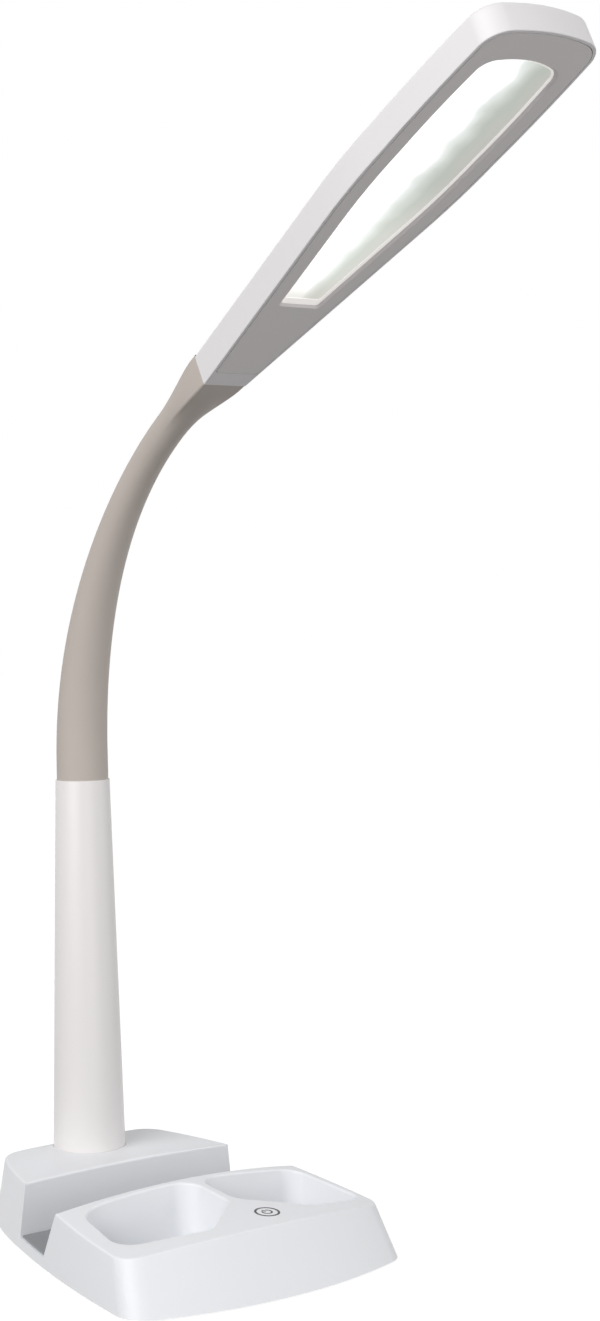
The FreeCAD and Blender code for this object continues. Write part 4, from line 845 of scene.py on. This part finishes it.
# %% Model the rim of the window
RIM_DROP, RIM_WIDTH, RIM_RISE = 0.0007, 0.0009, 0.00065
NECK_SIDE, WIDENING = -0.0760, 0.0026
RIM_WALL = 0.0003
bpy.ops.mesh.select_all(action="SELECT")
bpy.ops.transform.translate(value=(0.0, 0.0, -RIM_DROP))
bpy.ops.mesh.edge_face_add()
bpy.ops.mesh.select_mode(type="FACE")
bpy.ops.mesh.inset(thickness=RIM_WIDTH)
bpy.ops.transform.translate(value=(0.0, 0.0, RIM_RISE))
bpy.ops.mesh.delete(type="ONLY_FACE")
edit(window_rim, "VERT")
widened = choose(window_rim, "verts",
                 lambda v: v.co.z > INNER_FACE and v.co.y > NECK_SIDE)
bpy.ops.transform.translate(value=(0.0, -WIDENING, 0.0))
print("the rim is widened at", widened, "points")
give_wall(window_rim, RIM_WALL)
window_rim.data.transform(HEAD_FRAME)
finish_mesh(window_rim, "window_rim", smooth_angle=40.0)
window_rim.data.materials.clear()
set_finish(window_rim, RIM_PAINTED_GLOW)
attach(window_rim, "head")

# %% [markdown]
# ## Touch mark
# The switch is a sensor under the housing, so only a printed mark shows: a thin ring with a
# power sign inside it. The ring and the arc are flat bands, cut from a disc by an inset, and
# the bar is a small plane with round corners. Print stands a few hundredths of a millimetre
# proud, so each line is given a little thickness.

# %% Where the mark lies
ABOVE_MARK = Vector((0.010, -0.066, 0.2))
MARK_PLACE, MARK_NORMAL = housing.ray_cast(ABOVE_MARK, Vector((0, 0, -1)))[1:3]
MARK_FRAME = (Matrix.Translation(MARK_PLACE)
              @ MARK_NORMAL.to_track_quat("Z", "Y").to_matrix().to_4x4())
print("mark at", [round(value / MM, 2) for value in MARK_PLACE],
      "facing", [round(value, 3) for value in MARK_NORMAL])


# %% Helpers for printed marks
PRINT_THICKNESS, PRINT_SINK = 0.00006, 0.00002


def lay_mark(piece, name):
    """Thicken a mark, and lay it on the housing, sunk a little so that it never floats."""
    bpy.ops.mesh.select_all(action="SELECT")
    bpy.ops.mesh.extrude_region_move(
        TRANSFORM_OT_translate={"value": (0, 0, PRINT_THICKNESS)})
    bpy.ops.mesh.select_all(action="SELECT")
    bpy.ops.mesh.normals_make_consistent(inside=False)
    bpy.ops.object.mode_set(mode="OBJECT")
    sink = Matrix.Translation((0, 0, -PRINT_SINK))
    piece.matrix_world = MARK_FRAME @ sink @ piece.matrix_world
    activate(piece)
    bpy.ops.object.transform_apply(location=True, rotation=True, scale=True)
    piece.name = piece.data.name = name
    set_finish(piece, MARK_INK)
    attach(piece, "base")
    print(name, len(piece.data.polygons), "faces")


def flat_band(name, outer, inner, keep=None):
    """A thin printed ring; keep is a test on an angle that leaves part of the ring out."""
    deselect_all()
    bpy.ops.mesh.primitive_circle_add(vertices=72, radius=outer, fill_type="NGON")
    band = bpy.context.object
    edit(band)
    bpy.ops.mesh.select_all(action="SELECT")
    bpy.ops.mesh.inset(thickness=outer - inner)
    bpy.ops.mesh.delete(type="FACE")
    if keep:
        choose(band, "faces", lambda face: not keep(math.degrees(
            math.atan2(face.calc_center_median().y, face.calc_center_median().x)) % 360))
        bpy.ops.mesh.delete(type="FACE")
    lay_mark(band, name)


# %% Print the mark
RING_OUTER, RING_INNER = 0.00645, 0.00530
ARC_OUTER, ARC_INNER = 0.00285, 0.00195
ARC_GAP = (62, 118)  # degrees, open towards the back
BAR_WIDTH, BAR_LENGTH, BAR_MIDDLE, BAR_CORNER = 0.0008, 0.0026, 0.0021, 0.00025
flat_band("mark_ring", RING_OUTER, RING_INNER)
flat_band("mark_power_arc", ARC_OUTER, ARC_INNER,
          lambda angle: not ARC_GAP[0] < angle < ARC_GAP[1])
deselect_all()
bpy.ops.mesh.primitive_plane_add(size=1.0)
bar = bpy.context.object
bpy.ops.transform.resize(value=(BAR_WIDTH, BAR_LENGTH, 1.0))
bpy.ops.transform.translate(value=(0.0, BAR_MIDDLE, 0.0))
bpy.ops.object.transform_apply(location=True, rotation=True, scale=True)
edit(bar, "VERT")
bpy.ops.mesh.select_all(action="SELECT")
bpy.ops.mesh.bevel(offset=BAR_CORNER, segments=4, affect="VERTICES")
lay_mark(bar, "mark_power_bar")

# %% [markdown]
# ## Light and floor
# Soft lamps stand round the object, at a level where a colour shows about as it is: a strong
# screen on the left, weak ones in front and on the right, and a small card of light low in
# front, which reaches under the head. The world fills the shadows. The floor looks pale, but
# it throws little light back, so that the head's underside stays in shade. What the camera
# sees of it and of the world is lifted towards white by a light path, which puts no extra
# light on the lamp.


# %% Light the scene
def soft_lamp(name, location, target, size, power):
    """A square area lamp that faces a point."""
    data = bpy.data.lights.new(name, "AREA")
    data.shape = "SQUARE"
    data.size = size
    data.energy = power
    lamp = bpy.data.objects.new(name, data)
    lamp.location = location
    aim = Vector(target) - Vector(location)
    lamp.rotation_euler = aim.to_track_quat("-Z", "Y").to_euler()
    bpy.context.scene.collection.objects.link(lamp)
    print(name, size, "m wide,", power, "W")


STEM_MIDDLE, HEAD_MIDDLE = (0, 0, 0.25), (0, -0.15, 0.45)
soft_lamp("left_screen", (-1.72, -0.45, 1.22), STEM_MIDDLE, 1.5, 32)
soft_lamp("front_screen", (-0.30, -1.90, 0.80), STEM_MIDDLE, 1.5, 6.5)
soft_lamp("right_screen", (1.60, -1.10, 0.70), STEM_MIDDLE, 1.5, 10)
soft_lamp("front_card", (-0.15, -0.75, 0.20), HEAD_MIDDLE, 0.35, 0.38)

# %% Fill the shadows with the world
WHITE = (1.0, 1.0, 1.0, 1.0)
world = bpy.data.worlds.new("studio")
bpy.context.scene.world = world
world.use_nodes = True
tree = world.node_tree
room = tree.nodes["Background"]
room.inputs["Color"].default_value = WHITE
room.inputs["Strength"].default_value = 0.38


def seen_directly(tree, location):
    """An output that is 1 where the camera looks, directly, by reflection or through glass."""
    path = add_node(tree, "ShaderNodeLightPath", location)
    glossy = add_node(tree, "ShaderNodeMath", (location[0] + 200, location[1]), operation="ADD")
    clear = add_node(tree, "ShaderNodeMath", (location[0] + 380, location[1]), operation="ADD",
                     use_clamp=True)
    tree.links.new(path.outputs["Is Camera Ray"], glossy.inputs[0])
    tree.links.new(path.outputs["Is Glossy Ray"], glossy.inputs[1])
    tree.links.new(glossy.outputs[0], clear.inputs[0])
    tree.links.new(path.outputs["Is Transmission Ray"], clear.inputs[1])
    return clear.outputs[0]


white = add_node(tree, "ShaderNodeBackground", (0, -200), Strength=1.0)
white.inputs["Color"].default_value = WHITE
choice = add_node(tree, "ShaderNodeMixShader", (220, 0))
tree.links.new(seen_directly(tree, (-400, 200)), choice.inputs["Fac"])
tree.links.new(room.outputs[0], choice.inputs[1])
tree.links.new(white.outputs[0], choice.inputs[2])
tree.links.new(choice.outputs[0], tree.nodes["World Output"].inputs["Surface"])
print("world", world.name, "has", len(tree.nodes), "nodes")

# %% Lay the floor
FLOOR_SIZE = 8.0
FLOOR_GLOW, GLOW_SHARE = 1.22, 0.75  # how bright the lifted floor looks, and how much it counts
deselect_all()
bpy.ops.mesh.primitive_plane_add(size=FLOOR_SIZE, location=(0, 0, 0))
floor = bpy.context.object
floor.name = "floor"
paper = bpy.data.materials.new("white_paper")
paper.use_nodes = True
tree = paper.node_tree
surface = tree.nodes["Principled BSDF"]
surface.inputs["Roughness"].default_value = 0.9
tint = add_node(tree, "ShaderNodeMix", (-260, 0), data_type="RGBA")
tint.inputs["A"].default_value = (0.16, 0.155, 0.155, 1.0)
tint.inputs["B"].default_value = (0.86, 0.86, 0.86, 1.0)
glow = add_node(tree, "ShaderNodeEmission", (0, -300), Strength=FLOOR_GLOW)
glow.inputs["Color"].default_value = WHITE
share = add_node(tree, "ShaderNodeMath", (-80, 300), operation="MULTIPLY")
share.inputs[1].default_value = GLOW_SHARE
lift = add_node(tree, "ShaderNodeMixShader", (240, 0))
seen = seen_directly(tree, (-900, 400))
tree.links.new(seen, tint.inputs["Factor"])
tree.links.new(tint.outputs["Result"], surface.inputs["Base Color"])
tree.links.new(seen, share.inputs[0])
tree.links.new(share.outputs[0], lift.inputs["Fac"])
tree.links.new(surface.outputs[0], lift.inputs[1])
tree.links.new(glow.outputs[0], lift.inputs[2])
tree.links.new(lift.outputs[0], tree.nodes["Material Output"].inputs["Surface"])
floor.data.materials.append(paper)
floor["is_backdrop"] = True
bpy.context.scene.view_settings.view_transform = "Standard"
print("floor", FLOOR_SIZE, "m wide")

# %% [markdown]
# ## Last checks
# The visual model must stay inside the engineering model's box, so how far it reaches beyond
# that box is printed at the end.

# %% Print how far the model reaches beyond the box
VISUAL_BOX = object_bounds()
grow = [round((max(cad_low - low, high - cad_high)) / MM, 2)
        for cad_low, low, cad_high, high in zip(CAD_BOX[0], VISUAL_BOX[0],
                                                CAD_BOX[1], VISUAL_BOX[1])]
print("beyond the engineering box, in mm:", grow)
